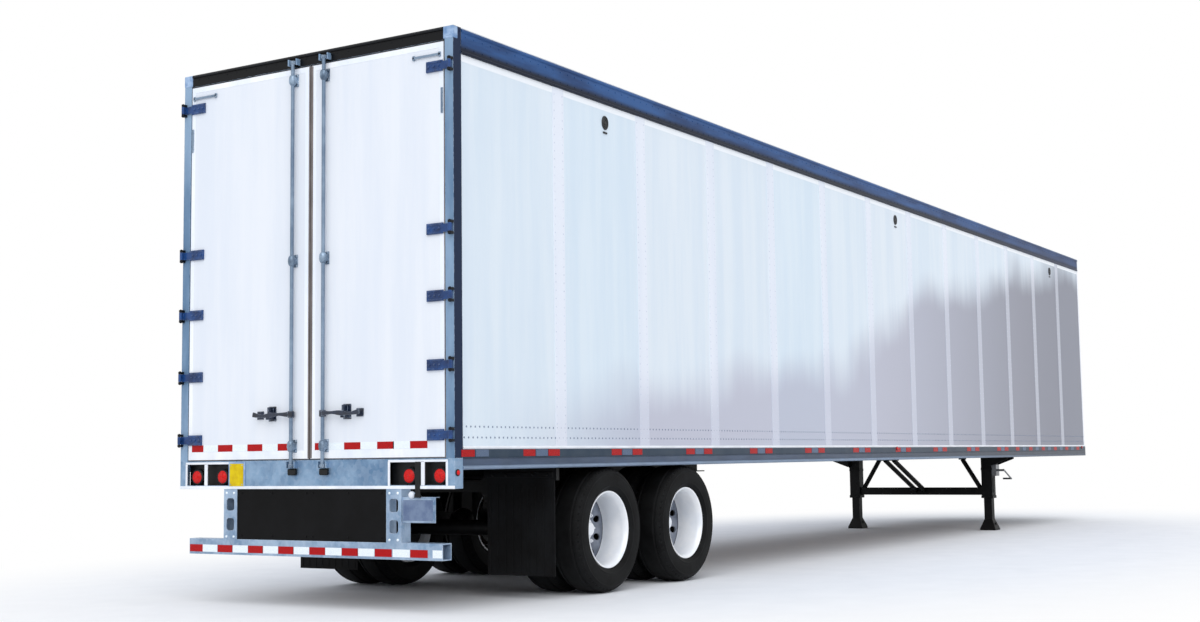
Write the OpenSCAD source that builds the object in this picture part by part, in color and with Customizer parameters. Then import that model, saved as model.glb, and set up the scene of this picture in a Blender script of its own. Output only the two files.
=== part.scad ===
// A two-axle dry van semi trailer, standing on its landing legs with its front end uncoupled.
// X runs forward to the nose, Y to the left, Z up, and the origin is on the ground under the
// middle of the body. All sizes are in millimetres.

/* [Body] */
// Length of the body from the rear frame to the nose
body_l = 16154; // [15800:1:16300]
// Width over the rails
body_w = 2592; // [2560:1:2640]
// Height of the roof above the ground
roof_z = 4015; // [3950:1:4060]
// Height of the top of the cargo floor
floor_z = 1115; // [1110:1:1120]
// Thickness of the side and front walls
wall_t = 12; // [8:1:14]
// Number of panels in one side wall
panel_count = 13; // [12:1:14]
// Length of one side panel
panel_pitch = 1229; // [1200:1:1235]
// Width of the strip that covers a panel joint
strip_w = 150; // [80:1:160]
// Radius of the front corners
corner_r = 130; // [110:1:160]

/* [Rails] */
// Height of the top rail
top_rail_h = 175; // [150:1:190]
// Underside of the bottom rail above the ground
bottom_rail_z = 973; // [970:1:978]
// Height of the bottom rail
bottom_rail_h = 160; // [140:1:170]
// Distance between floor crossmembers
cross_pitch = 305; // [300:1:320]

/* [Doors] */
// Thickness of a rear door
door_t = 22; // [16:1:24]
// Half the gap between the two doors
door_gap = 10; // [8:1:12]
// Width of a corner post
post_w = 73; // [68:1:76]
// Fore and aft depth of the rear frame and sill
frame_d = 90; // [80:1:100]
// Distance from the rear frame back to the hinge pins
pin_out = 30; // [28:1:32]
// Distance from the middle plane to a lock rod
rod_y = 150; // [130:1:180]

/* [Running gear] */
// Distance from the rear frame to the rear axle
axle_from_rear = 2007; // [1950:1:2300]
// Distance between the two axles
axle_pitch = 1243; // [1220:1:1300]
// Outer radius of a tyre
tyre_r = 487; // [480:1:490]
// Width of a tyre
tyre_w = 285; // [275:1:290]
// Distance from the middle plane to the gap between twin tyres
twin_y = 984; // [980:1:986]
// Half the distance between the middles of twin tyres
twin_half = 165; // [160:1:165]

/* [Landing gear] */
// Distance from the rear frame to the landing legs
leg_from_rear = 12325; // [12000:1:12500]
// Distance from the middle plane to a landing leg
leg_y = 950; // [900:1:980]

/* [Coupling] */
// Distance from the nose back to the kingpin
kingpin_from_nose = 914; // [760:1:1000]
// Radius of the kingpin's collar
kingpin_r = 35.7; // [35:0.1:36.5]
// Radius of the kingpin's neck
kingpin_neck_r = 25.4; // [25:0.1:26]

/* [Hidden] */
$fn = 48;

rear_x = -body_l / 2;
nose_x = body_l / 2;
half_w = body_w / 2;

// The rails stand proud of the wall, and the strips lie on it.
rail_t = 12;
wall_y = half_w - rail_t;
strip_t = 3;
roof_t = 6;
rail_top = roof_z - roof_t;
rail_under = rail_top - top_rail_h;
flange_t = 12;
flange_w = 56;
bottom_rail_top = bottom_rail_z + bottom_rail_h;
wall_z0 = bottom_rail_z + 17;
wall_z1 = rail_top - flange_t;
wall_x0 = rear_x + frame_d;
wall_x1 = nose_x - corner_r - 30;
floor_t = 28;
cross_h = 100;
cross_z = floor_z - floor_t - cross_h;
inner_y = wall_y - wall_t;

// The rear frame is a hoop of two posts and a header on the sill, whose rear edge is
// stepped down so that the doors close over it.
sill_step = 63;
sill_lip = 35;
sill_top = floor_z - sill_step;
sill_h = 204;
sill_z = sill_top - sill_h;
header_h = 93;
header_z = roof_z - header_h;
opening_y = half_w - post_w;
door_y1 = opening_y - 11;
door_z0 = sill_top + 10;
door_z1 = header_z - 10;

// Door hinges: the heights of their middles, and the pin that each turns on.
HINGE_Z = [1210, 1683, 2153, 2613, 3743];
pin_x = rear_x - pin_out;
pin_y = half_w - 14;
pin_r = 7;
knuckle_r = 13;
knuckle_h = 56;
lug_h = 18;
lug_gap = 2;
strap_y = 1070;
strap_u = 17;
strap_t = 7;

// Lock rods and their handles.
rod_r = 13.5;
rod_x = rear_x - 30;
rod_z0 = sill_z + 150;
rod_z1 = header_z + 45;
handle_z = 1380;
handle_end_y = 505;
hardware_out = 60;

// Rear lamps sit in one window on each side of the sill.
window_y0 = 735;
window_y1 = 1225;
window_z0 = sill_z + 25;
window_z1 = sill_top - 17;
lamp_z = 935;
LAMP_Y = [884, 1148];
lamp_r = 49;

// Impact guard under the sill.
guard_z = 368;
guard_h = 114;
guard_y = 1189;
guard_d = 100;
guard_t = 7;
guard_post_y0 = 705;
guard_post_y1 = 838;

// Wheels.
AXLE_X = [rear_x + axle_from_rear, rear_x + axle_from_rear + axle_pitch];
bead_r = 286;
rim_r = 284;
rim_in_r = 276;
rim_flange_r = 298;
rim_half_w = 116;
drum_r = 212;
spindle_r = 44;
axle_r = 63.5;
axle_tube_y = 750;

// Suspension under the slide rails.
rail_y0 = 440;
rail_y1 = 560;
slide_h = 90;
slide_z = cross_z - slide_h;
bogie_h = 130;
bogie_z = slide_z - bogie_h;
bogie_y0 = 455;
bogie_y1 = 545;
pivot_dx = 470;
pivot_z = 545;
spring_dx = -310;
spring_r = 105;

// Landing gear.
leg_x = rear_x + leg_from_rear;
leg_w = 145;
leg_inner_w = 106;
leg_split_z = 430;
foot_t = 20;
foot_w = 210;
brace_z = 520;

// Coupler.
coupler_t = 10;
coupler_z = cross_z - coupler_t;
coupler_l = 1880;
kingpin_x = nose_x - kingpin_from_nose;
kingpin_l = 84;
kingpin_collar_h = 19;
kingpin_neck_h = 35;

// ---- Helpers -------------------------------------------------------------------------

// A block between two corners.
module block(x0, x1, y0, y1, z0, z1) {
  translate([x0, y0, z0]) cube([x1 - x0, y1 - y0, z1 - z0]);
}

// Children and their mirror image on the right-hand side.
module both_sides() {
  children();
  mirror([0, 1, 0]) children();
}

// Children on the left, or mirrored to the right.
module on_side(left) {
  if (left) children();
  else mirror([0, 1, 0]) children();
}

// A section drawn in Y and Z, run along X.
module along_x(x0, x1) {
  translate([x0, 0, 0]) rotate([90, 0, 90]) linear_extrude(x1 - x0) children();
}

// A section drawn in X and Z, run along Y.
module along_y(y0, y1) {
  translate([0, y1, 0]) rotate([90, 0, 0]) linear_extrude(y1 - y0) children();
}

// A profile of radius and height, turned about an axis along Y through (x, z) from y.
module turned_y(x, y, z) {
  translate([x, y, z]) rotate([-90, 0, 0]) rotate_extrude() children();
}

// A rod between two points.
module rod(a, b, r) {
  d = b - a;
  l = norm(d);
  translate(a) rotate([0, acos(d[2] / l), atan2(d[1], d[0])]) cylinder(r = r, h = l);
}

// A flat rectangle with its corners cut to arcs.
module rounded(x0, x1, y0, y1, r) {
  translate([x0 + r, y0]) square([x1 - x0 - 2 * r, y1 - y0]);
  translate([x0, y0 + r]) square([x1 - x0, y1 - y0 - 2 * r]);
  for (x = [x0 + r, x1 - r], y = [y0 + r, y1 - r]) translate([x, y]) circle(r);
}

// The plan of the body's nose end out to half width y, with round front corners.
module nose_plan(x0, x1, y, r) {
  translate([x0, -y]) square([x1 - r - x0, 2 * y]);
  translate([x0, -(y - r)]) square([x1 - x0, 2 * (y - r)]);
  intersection() {
    translate([x0, -y]) square([x1 - x0, 2 * y]);
    for (s = [-1, 1]) translate([x1 - r, s * (y - r)]) circle(r);
  }
}

// ---- Body ----------------------------------------------------------------------------

module side_wall(left) {
  color("aliceblue") on_side(left)
    block(wall_x0, wall_x1, inner_y, wall_y, wall_z0, wall_z1);
}

// One strip over each joint between panels, between the two rails.
module splice_strips() {
  first = (body_l - panel_count * panel_pitch) / 2;
  color("lavenderblush") both_sides()
    for (i = [1 : panel_count - 1]) {
      x = rear_x + first + i * panel_pitch;
      block(x - strip_w / 2, x + strip_w / 2, wall_y, wall_y + strip_t, bottom_rail_top, rail_under);
    }
}

module top_rails() {
  color("steelblue") both_sides() along_x(wall_x0, wall_x1) {
    translate([wall_y, rail_under]) square([rail_t, top_rail_h]);
    translate([wall_y - flange_w, wall_z1]) square([flange_w, flange_t]);
  }
}

module bottom_rails() {
  color("lightsteelblue") both_sides() along_x(wall_x0, wall_x1) {
    translate([wall_y, bottom_rail_z]) square([rail_t, bottom_rail_h]);
    translate([inner_y, bottom_rail_z]) square([wall_t, wall_z0 - bottom_rail_z]);
  }
}

// Round corner posts joined by a top and a bottom rail around the front wall.
module nose_frame() {
  top_h = top_rail_h;
  foot_h = bottom_rail_h;
  color("lightsteelblue") {
    for (z = [[rail_top - top_h, top_h], [bottom_rail_z, foot_h]])
      translate([0, 0, z[0]]) linear_extrude(z[1]) difference() {
        nose_plan(wall_x1, nose_x, half_w, corner_r);
        nose_plan(wall_x1 - 1, nose_x - rail_t, wall_y, corner_r - rail_t);
      }
    translate([0, 0, wall_z0]) linear_extrude(rail_top - wall_z0) difference() {
      nose_plan(wall_x1, nose_x - rail_t + 4, wall_y + 4, corner_r - rail_t + 4);
      nose_plan(wall_x1 - 1, nose_x - rail_t - wall_t, inner_y, corner_r - rail_t - wall_t);
      translate([nose_x - corner_r - 40, -(half_w - corner_r - 30)])
        square([corner_r + 60, 2 * (half_w - corner_r - 30)]);
    }
  }
}

module front_wall() {
  y = half_w - corner_r - 30;
  color("aliceblue") block(nose_x - rail_t - wall_t, nose_x - rail_t, -y, y, wall_z0, wall_z1);
}

module roof() {
  color("white") translate([0, 0, rail_top]) linear_extrude(roof_t)
    nose_plan(wall_x0, nose_x, half_w, corner_r);
}

// Shallow bows under the roof sheet.
module roof_bows() {
  bow_w = 50;
  bow_h = 30;
  pitch = 2 * cross_pitch;
  count = floor((wall_x1 - wall_x0 - 300) / pitch);
  bow_y = wall_y - flange_w;
  color("silver")
    for (i = [0 : count]) {
      x = wall_x0 + 200 + i * pitch;
      block(x - bow_w / 2, x + bow_w / 2, -bow_y, bow_y, rail_top - bow_h, rail_top);
    }
}

module floor_boards() {
  color("burlywood")
    translate([0, 0, floor_z - floor_t]) linear_extrude(floor_t)
      nose_plan(wall_x0, nose_x - rail_t - wall_t, inner_y, corner_r - rail_t - wall_t);
}

// I-beams across the frame from rail to rail.
module crossmembers() {
  flange = 57;
  thick = 5;
  web = 4;
  count = floor((body_l - frame_d - 250) / cross_pitch);
  color("dimgray")
    for (i = [0 : count - 1])
      translate([rear_x + frame_d + 100 + i * cross_pitch, 0, 0]) along_y(-inner_y, inner_y) {
        translate([-flange / 2, cross_z]) square([flange, thick]);
        translate([-flange / 2, cross_z + cross_h - thick]) square([flange, thick]);
        translate([-web / 2, cross_z]) square([web, cross_h]);
      }
}

// ---- Coupler and nose ----------------------------------------------------------------

module coupler_plate() {
  y = 1190;
  x1 = nose_x - rail_t - 8;
  color("darkslategray") block(x1 - coupler_l, x1, -y, y, coupler_z, cross_z);
}

module kingpin() {
  neck_z = coupler_z - kingpin_l + kingpin_collar_h;
  color("gray") translate([kingpin_x, 0, 0]) {
    translate([0, 0, coupler_z - kingpin_l]) cylinder(r = kingpin_r, h = kingpin_collar_h);
    translate([0, 0, neck_z]) cylinder(r = kingpin_neck_r, h = kingpin_neck_h);
    translate([0, 0, neck_z + kingpin_neck_h])
      cylinder(r = kingpin_r, h = kingpin_l - kingpin_collar_h - kingpin_neck_h);
  }
}

// A shallow box on the nose with two air couplings and an electrical socket.
module nose_connectors() {
  z = 1260;
  plate_x = nose_x - rail_t;
  box_d = 34;
  color("gray") {
    block(plate_x, plate_x + box_d, -230, 230, z - 75, z + 75);
    for (y = [-150, 150]) {
      translate([plate_x + box_d, y, z]) rotate([0, 90, 0]) cylinder(r = 34, h = 20);
      block(plate_x + box_d, plate_x + box_d + 34, y - 12, y + 12, z - 58, z - 20);
    }
    translate([plate_x + box_d, 0, z]) rotate([0, 90, 0])
      cylinder(r = 40, h = rail_t + hardware_out - box_d);
  }
}

// ---- Rear frame ----------------------------------------------------------------------

// Two corner posts and the header, with keepers for the rods' upper ends.
module rear_frame() {
  color("slategray") {
    both_sides() block(rear_x, wall_x0, opening_y, half_w, sill_top, roof_z);
    block(rear_x, wall_x0, -opening_y, opening_y, header_z, roof_z);
    rod_keepers(header_z + 12, 46);
  }
}

// Two lugs beside each rod's end, open to the rear so that the end can swing out.
module rod_keepers(z, h) {
  lug_t = 9;
  gap = 34;
  both_sides()
    for (s = [-1, 1])
      translate([0, rod_y + s * (gap + lug_t / 2), 0])
        block(rear_x - 38, rear_x, -lug_t / 2, lug_t / 2, z, z + h);
}

// A channel with its open side forward, and a window each side for the lamps.
module rear_sill() {
  web = 8;
  flange = 10;
  color("lightsteelblue") {
    difference() {
      block(rear_x, rear_x + frame_d, -half_w, half_w, sill_z, sill_top);
      block(rear_x + web, rear_x + frame_d + 1, -half_w + web, half_w - web,
        sill_z + flange, sill_top - flange);
      both_sides() along_x(rear_x - 1, rear_x + web + 1)
        rounded(window_y0, window_y1, window_z0, window_z1, 16);
    }
    block(rear_x + sill_lip, wall_x0, -opening_y, opening_y, sill_top, floor_z);
    rod_keepers(sill_top - 56, 46);
  }
}

// The lugs on the posts and the pins that run through them.
module hinge_butts() {
  reach = knuckle_h / 2 + lug_gap;
  color("darkslategray") both_sides()
    for (z = HINGE_Z) {
      translate([pin_x, pin_y, z - reach - lug_h - 4])
        cylinder(r = pin_r, h = 2 * (reach + lug_h + 4));
      for (z0 = [z - reach - lug_h, z + reach]) {
        translate([pin_x, pin_y, z0]) cylinder(r = knuckle_r, h = lug_h);
        block(pin_x, rear_x, pin_y - knuckle_r, pin_y + knuckle_r, z0, z0 + lug_h);
      }
    }
}

// ---- Doors ---------------------------------------------------------------------------

module door(left) {
  color("aliceblue") on_side(left)
    block(rear_x, rear_x + door_t, door_gap, door_y1, door_z0, door_z1);
}

// A rubber strip all round the door's edge.
module door_seal(left) {
  lip = 5;
  x0 = rear_x + 3;
  x1 = rear_x + door_t - 3;
  color("dimgray") on_side(left) difference() {
    block(x0, x1, door_gap - lip, door_y1 + lip, door_z0 - lip, door_z1 + lip);
    block(x0 - 1, x1 + 1, door_gap, door_y1, door_z0, door_z1);
  }
}

// The rod in its guides, a cam at each end, the handle and its catch.
module lock_rod(left) {
  guide_h = 70;
  guide_half = 34;
  cam_half = 20;
  handle_h = 30;
  color("slategray") on_side(left) {
    translate([rod_x, rod_y, rod_z0]) cylinder(r = rod_r, h = rod_z1 - rod_z0);
    for (z = [rod_z0, rod_z1 - 26])
      block(rod_x - 8, rod_x + 20, rod_y - cam_half, rod_y + cam_half, z, z + 26);
    for (z = [door_z0 + 90, handle_z, 2500, door_z1 - 90])
      block(rod_x - 17, rear_x, rod_y - guide_half, rod_y + guide_half, z - guide_h / 2, z + guide_h / 2);
    block(rear_x - hardware_out, rear_x - hardware_out + 14, rod_y - 14, handle_end_y,
      handle_z - handle_h / 2, handle_z + handle_h / 2);
    block(rear_x - hardware_out + 13, rod_x + 10, rod_y - 14, rod_y + 14,
      handle_z - handle_h / 2, handle_z + handle_h / 2);
    block(rear_x - hardware_out + 14, rear_x, 330, 380, handle_z - 45, handle_z + 45);
  }
}

// Five straps on the door, each with a knuckle bored for its pin.
module hinge_straps(left) {
  strap_h = 76;
  bore_r = pin_r + 1;
  back_x = pin_x + strap_u;
  color("darkslategray") on_side(left) difference() {
    for (z = HINGE_Z) {
      translate([pin_x, pin_y, z - knuckle_h / 2]) cylinder(r = knuckle_r, h = knuckle_h);
      block(pin_x, back_x + strap_t, pin_y - 11, pin_y + 5, z - knuckle_h / 2, z + knuckle_h / 2);
      block(back_x, back_x + strap_t, door_y1 - 40, pin_y - 8, z - knuckle_h / 2, z + knuckle_h / 2);
      block(back_x, rear_x, strap_y, door_y1 - 2, z - strap_h / 2, z + strap_h / 2);
    }
    for (z = HINGE_Z) translate([pin_x, pin_y, z - knuckle_h]) cylinder(r = bore_r, h = 2 * knuckle_h);
  }
}

// ---- Lamps, guard and plate ----------------------------------------------------------

module lamp_boxes() {
  back = 45;
  color("black") both_sides()
    block(rear_x + 8 + back, rear_x + 8 + back + 20, window_y0 - 20, window_y1 + 20,
      sill_z + 12, sill_top - 12);
}

module rear_lamps() {
  depth = 38;
  color("red") both_sides()
    for (y = LAMP_Y) translate([rear_x + 53 - depth, y, lamp_z]) rotate([0, 90, 0])
      cylinder(r = lamp_r, h = depth);
}

// Small lamps along the bottom rail: the columns are place from the rear frame and height.
module marker_lamps() {
  SIDE = [[30, 955], [8080, 1100], [15820, 1100]];
  NOSE_Y = [-1110, -150, 0, 150, 1110];
  depth = 14;
  color("red") {
    both_sides() for (m = SIDE)
      translate([rear_x + m[0], half_w, m[1]]) rotate([-90, 0, 0]) cylinder(r = 24, h = depth);
    for (y = NOSE_Y) translate([nose_x, y, rail_top - 60]) rotate([0, 90, 0])
      cylinder(r = 26, h = depth);
  }
}

// A box bar on two channels that hang from the sill.
module impact_guard() {
  post_t = 8;
  color("lightsteelblue") {
    along_y(-guard_y, guard_y) difference() {
      translate([rear_x, guard_z]) square([guard_d, guard_h]);
      translate([rear_x + guard_t, guard_z + guard_t])
        square([guard_d - 2 * guard_t, guard_h - 2 * guard_t]);
    }
    both_sides() {
      difference() {
        block(rear_x, rear_x + guard_d, guard_post_y0, guard_post_y1, guard_z + guard_h, sill_z);
        block(rear_x + post_t, rear_x + guard_d + 1, guard_post_y0 + post_t,
          guard_post_y1 - post_t, guard_z, sill_z + 1);
        for (z = [590, 735]) along_x(rear_x - 1, rear_x + guard_d + 1)
          rounded(guard_post_y0 + 28, guard_post_y1 - 28, z - 45, z + 45, 21.9);
      }
    }
  }
}

// A black sheet that fills the gap between the two posts.
module guard_panel() {
  color("black") block(rear_x + 4, rear_x + 10, -guard_post_y0, guard_post_y0, guard_z + guard_h, sill_z);
}

// A folded bracket beside the right post, with a blank plate and its lamp.
module plate_bracket() {
  y0 = -1122;
  y1 = -guard_post_y1;
  color("lightsteelblue") {
    block(rear_x + 12, rear_x + 17, y0, y1, 618, 792);
    block(rear_x + 12, rear_x + 60, y0, y1, 788, 792);
    block(rear_x + 7, rear_x + 12, y0 + 12, y1 - 5, 626, 778);
  }
  color("white") block(rear_x + 2, rear_x + 40, -960, -900, 792, 822);
}

module flap_hangers() {
  x = rear_x + 1277;
  color("black") both_sides() {
    block(x, x + 40, 600, 1262, 880, cross_z);
  }
}

module mud_flaps() {
  x = rear_x + 1277;
  color("black") both_sides()
    block(x - 8, x, 640, 1250, 175, cross_z - 10);
}

// ---- Suspension ----------------------------------------------------------------------

// Two channels under the crossmembers that the bogie is pinned to.
module slide_rails() {
  t = 10;
  color("dimgray") both_sides() along_x(rear_x + 700, rear_x + 4950) {
    translate([rail_y0, cross_z - t]) square([rail_y1 - rail_y0, t]);
    translate([bogie_y0, slide_z]) square([t, slide_h]);
    translate([bogie_y0, slide_z]) square([bogie_y1 - bogie_y0, t]);
  }
}

// The slider: two side rails, cross tubes and a hanger ahead of each axle.
module bogie_frame() {
  x0 = AXLE_X[0] - 560;
  x1 = AXLE_X[1] + 640;
  tube_y = bogie_y0 + 2;
  color("black") {
    both_sides() {
      block(x0, x1, bogie_y0, bogie_y1, bogie_z, slide_z);
      for (a = AXLE_X) difference() {
        block(a + pivot_dx - 75, a + pivot_dx + 75, bogie_y0, bogie_y1, pivot_z - 70, bogie_z);
        block(a + pivot_dx - 90, a + pivot_dx + 90, bogie_y0 + 14, bogie_y1 - 14,
          pivot_z - 80, pivot_z + 62);
      }
    }
    for (x = [x0 + 60, AXLE_X[0] + pivot_dx, AXLE_X[1] + pivot_dx])
      block(x - 40, x + 40, -tube_y, tube_y, bogie_z + 20, slide_z - 20);
  }
}

// An arm from each hanger back over its axle to the seat of the air spring.
module trailing_arms() {
  half = 26;
  y = (bogie_y0 + bogie_y1) / 2;
  color("dimgray") both_sides()
    for (a = AXLE_X) {
      along_y_arm(a, y, half);
      translate([a + spring_dx, y, 566]) cylinder(r = 75, h = 14);
    }
}

// The arm's side view, from the pivot's eye to the spring seat.
module along_y_arm(a, y, half) {
  translate([a, 0, 0]) along_y(y - half, y + half) {
    translate([pivot_dx, pivot_z]) circle(52);
    polygon([[pivot_dx, pivot_z + 50], [0, tyre_r + axle_r + 62], [-120, 580], [spring_dx - 60, 580],
      [spring_dx - 60, 556], [-120, 540], [-90, tyre_r + axle_r], [90, tyre_r + axle_r],
      [pivot_dx, pivot_z - 50]]);
  }
}

module air_springs() {
  y = (bogie_y0 + bogie_y1) / 2;
  z0 = 580;
  color("black") both_sides()
    for (a = AXLE_X) translate([a + spring_dx, y, z0]) {
      h = bogie_z - z0;
      cylinder(r = spring_r - 12, h = h);
      translate([0, 0, h * 0.25]) cylinder(r = spring_r, h = h * 0.62);
    }
}

// A tube with a spindle and a brake plate at each end.
module axles() {
  reach = twin_y + 86;
  color("black")
    for (a = AXLE_X) {
      turned_y(a, 0, tyre_r) polygon([
        [0, -reach], [spindle_r, -reach], [spindle_r, -axle_tube_y], [208, -axle_tube_y],
        [208, -axle_tube_y + 10], [axle_r, -axle_tube_y + 10], [axle_r, axle_tube_y - 10],
        [208, axle_tube_y - 10], [208, axle_tube_y], [spindle_r, axle_tube_y],
        [spindle_r, reach], [0, reach]]);
    }
}

module air_tank() {
  x = rear_x + 4200;
  r = 125;
  color("black") {
    translate([x, -380, cross_z - r - 20]) rotate([-90, 0, 0]) cylinder(r = r, h = 760);
    for (y = [-260, 240]) block(x - 30, x + 30, y, y + 20, cross_z - 60, cross_z);
  }
}

// ---- Wheels --------------------------------------------------------------------------

// A tyre's section is a squared ellipse between the bead and the tread.
function tyre_section(n) = [
  for (i = [0 : n - 1])
    let (a = 360 * i / n, c = cos(a), s = sin(a), mid = (tyre_r + bead_r) / 2)
      [mid + (tyre_r - bead_r) / 2 * sign(c) * pow(abs(c), 0.62),
       tyre_w / 2 * sign(s) * pow(abs(s), 0.62)]
];

module tyres(axle, left) {
  color("black") on_side(left)
    for (s = [-1, 1]) turned_y(AXLE_X[axle], twin_y + s * twin_half, tyre_r)
      polygon(tyre_section(36));
}

// One rim's section, from its dished disc out round both flanges; heights are from the
// face where the twins bolt together.
function rim_section() =
  let (h0 = twin_half - rim_half_w, h1 = twin_half + rim_half_w) [
    [drum_r, 14], [240, 26], [rim_in_r, h0 + 14], [rim_in_r, h1],
    [rim_flange_r, h1], [rim_flange_r, h1 - 7], [rim_r, h1 - 9], [rim_r, h0 + 9],
    [rim_flange_r, h0 + 7], [rim_flange_r, h0], [rim_in_r + 2, h0], [246, 14]];

// Both rims of a pair with the hub and the brake drum that carry them.
module wheels(axle, left) {
  bore_r = spindle_r + 2;
  hub_r = 96;
  rim = rim_section();
  drum = [[bore_r, -150], [hub_r, -150], [hub_r, -30], [drum_r - 12, -30],
    [drum_r - 12, -225], [drum_r, -225]];
  cap = [[205, 11], [hub_r, 11], [hub_r, 80], [62, 92], [62, 120], [0, 120], [0, 96], [bore_r, 96]];
  color("white") on_side(left) turned_y(AXLE_X[axle], twin_y, tyre_r)
    polygon(concat(
      drum, [for (p = rim) [p[0], -p[1]]], [[215, 0]],
      [for (i = [len(rim) - 1 : -1 : 0]) rim[i]], cap));
}

// ---- Landing gear --------------------------------------------------------------------

// A square leg in its outer tube, on a flared shoe, with a wing up to the side rail.
module landing_leg(left) {
  h = leg_w / 2;
  hi = leg_inner_w / 2;
  wing_z = 860;
  wing_y = inner_y - leg_y - 6;
  color("black") on_side(left) translate([leg_x, leg_y, 0]) {
    intersection() {
      along_y(-foot_w, foot_w) shoe_side(hi);
      along_x(-foot_w, foot_w) shoe_side(hi);
    }
    block(-hi, hi, -hi, hi, 140, leg_split_z);
    block(-h, h, -h, h, leg_split_z, cross_z);
    block(-h - 70, h + 70, h - 10, h, wing_z, cross_z);
    for (x = [-h - 70, h + 60]) along_x(x, x + 10)
      polygon([[h, wing_z], [h, cross_z], [wing_y, cross_z], [wing_y, 950]]);
  }
}

// One side of the shoe, spreading from the leg's width to its flat foot.
module shoe_side(top) {
  half = foot_w / 2;
  polygon([[-half, 0], [half, 0], [half, foot_t], [top, 150], [-top, 150], [-half, foot_t]]);
}

// A cross shaft between the legs, two side braces and a pair of drag braces.
module landing_braces() {
  y = leg_y - leg_w / 2;
  r = 30;
  end_z = cross_z - 36;
  color("black") {
    block(leg_x - 45, leg_x + 45, -y, y, brace_z - 50, brace_z + 50);
    both_sides() {
      rod([leg_x, y - 32, brace_z + 30], [leg_x, 600, end_z], r);
      block(leg_x - 40, leg_x + 40, 560, 640, cross_z - 40, cross_z);
      rod([leg_x - 10, 60, brace_z], [leg_x - 1150, 60, end_z], r);
    }
    block(leg_x - 1200, leg_x - 1100, -110, 110, cross_z - 40, cross_z);
  }
}

// The folded crank on the right leg's gearbox.
module crank_handle() {
  y0 = -(leg_y + leg_w / 2);
  z = 800;
  color("dimgray") {
    block(leg_x - 70, leg_x + 70, y0 - 60, y0, z - 75, z + 75);
    rod([leg_x, y0 - 55, z], [leg_x, y0 - 150, z], 14);
    rod([leg_x, y0 - 142, z + 8], [leg_x + 330, y0 - 142, z - 120], 10);
    rod([leg_x + 322, y0 - 150, z - 117], [leg_x + 322, y0 - 30, z - 117], 12);
  }
}

// ---- Assembly ------------------------------------------------------------------------

side_wall(true);  // side_wall_left
side_wall(false);  // side_wall_right
splice_strips();
top_rails();
bottom_rails();
nose_frame();
front_wall();
roof();
roof_bows();
floor_boards();  // floor
crossmembers();
coupler_plate();
kingpin();
nose_connectors();
rear_frame();
rear_sill();
hinge_butts();
door(true);  // door_left
door(false);  // door_right
door_seal(true);  // door_seal_left
door_seal(false);  // door_seal_right
lock_rod(true);  // lock_rod_left
lock_rod(false);  // lock_rod_right
hinge_straps(true);  // hinge_straps_left
hinge_straps(false);  // hinge_straps_right
lamp_boxes();
rear_lamps();
marker_lamps();
impact_guard();
guard_panel();
plate_bracket();
mud_flaps();
flap_hangers();
slide_rails();
bogie_frame();
trailing_arms();
air_springs();
axles();
air_tank();
tyres(0, true);  // tyres_rear_left
tyres(0, false);  // tyres_rear_right
tyres(1, true);  // tyres_front_left
tyres(1, false);  // tyres_front_right
wheels(0, true);  // wheels_rear_left
wheels(0, false);  // wheels_rear_right
wheels(1, true);  // wheels_front_left
wheels(1, false);  // wheels_front_right
landing_leg(true);  // landing_leg_left
landing_leg(false);  // landing_leg_right
landing_braces();
crank_handle();
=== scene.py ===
"""The looks of a dry van semi trailer that stands uncoupled on its landing legs."""

import math
import bpy
import numpy as np
from mathutils import Matrix, Vector


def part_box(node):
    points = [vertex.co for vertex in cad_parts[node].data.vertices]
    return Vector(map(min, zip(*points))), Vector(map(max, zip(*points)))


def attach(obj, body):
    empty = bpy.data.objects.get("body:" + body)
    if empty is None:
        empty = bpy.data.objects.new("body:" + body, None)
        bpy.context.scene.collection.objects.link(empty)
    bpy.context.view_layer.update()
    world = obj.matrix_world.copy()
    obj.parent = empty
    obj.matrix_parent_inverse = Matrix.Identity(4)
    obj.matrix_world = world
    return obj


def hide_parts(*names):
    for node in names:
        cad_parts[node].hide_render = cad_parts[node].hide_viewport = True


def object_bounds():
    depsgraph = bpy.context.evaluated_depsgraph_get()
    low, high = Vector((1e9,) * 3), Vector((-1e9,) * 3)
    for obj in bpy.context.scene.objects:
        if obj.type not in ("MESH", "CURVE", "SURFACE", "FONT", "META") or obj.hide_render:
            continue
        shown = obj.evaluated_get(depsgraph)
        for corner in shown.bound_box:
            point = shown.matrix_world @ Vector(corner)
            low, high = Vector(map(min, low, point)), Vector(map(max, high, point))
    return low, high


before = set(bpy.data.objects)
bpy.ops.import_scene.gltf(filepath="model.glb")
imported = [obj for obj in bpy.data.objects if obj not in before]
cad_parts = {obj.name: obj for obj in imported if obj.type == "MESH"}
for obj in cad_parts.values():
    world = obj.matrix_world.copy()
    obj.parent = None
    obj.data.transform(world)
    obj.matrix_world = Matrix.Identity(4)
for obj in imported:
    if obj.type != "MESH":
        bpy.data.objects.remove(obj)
cad_low, cad_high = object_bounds()

# ---- Camera ----------------------------------------------------------------------------------
# It stands low behind the right rear corner, at the height of a person's waist, and looks
# slightly up along the right-hand side.

look_azimuth, look_up, look_roll = (math.radians(a) for a in (31.79, 5.38, -0.75))
ahead = Vector((math.cos(look_azimuth) * math.cos(look_up),
                math.sin(look_azimuth) * math.cos(look_up), math.sin(look_up)))
level = ahead.cross(Vector((0, 0, 1))).normalized()
across = level * math.cos(look_roll) + level.cross(ahead) * math.sin(look_roll)
view_axes = Matrix((across, across.cross(ahead), -ahead)).transposed()

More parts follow.
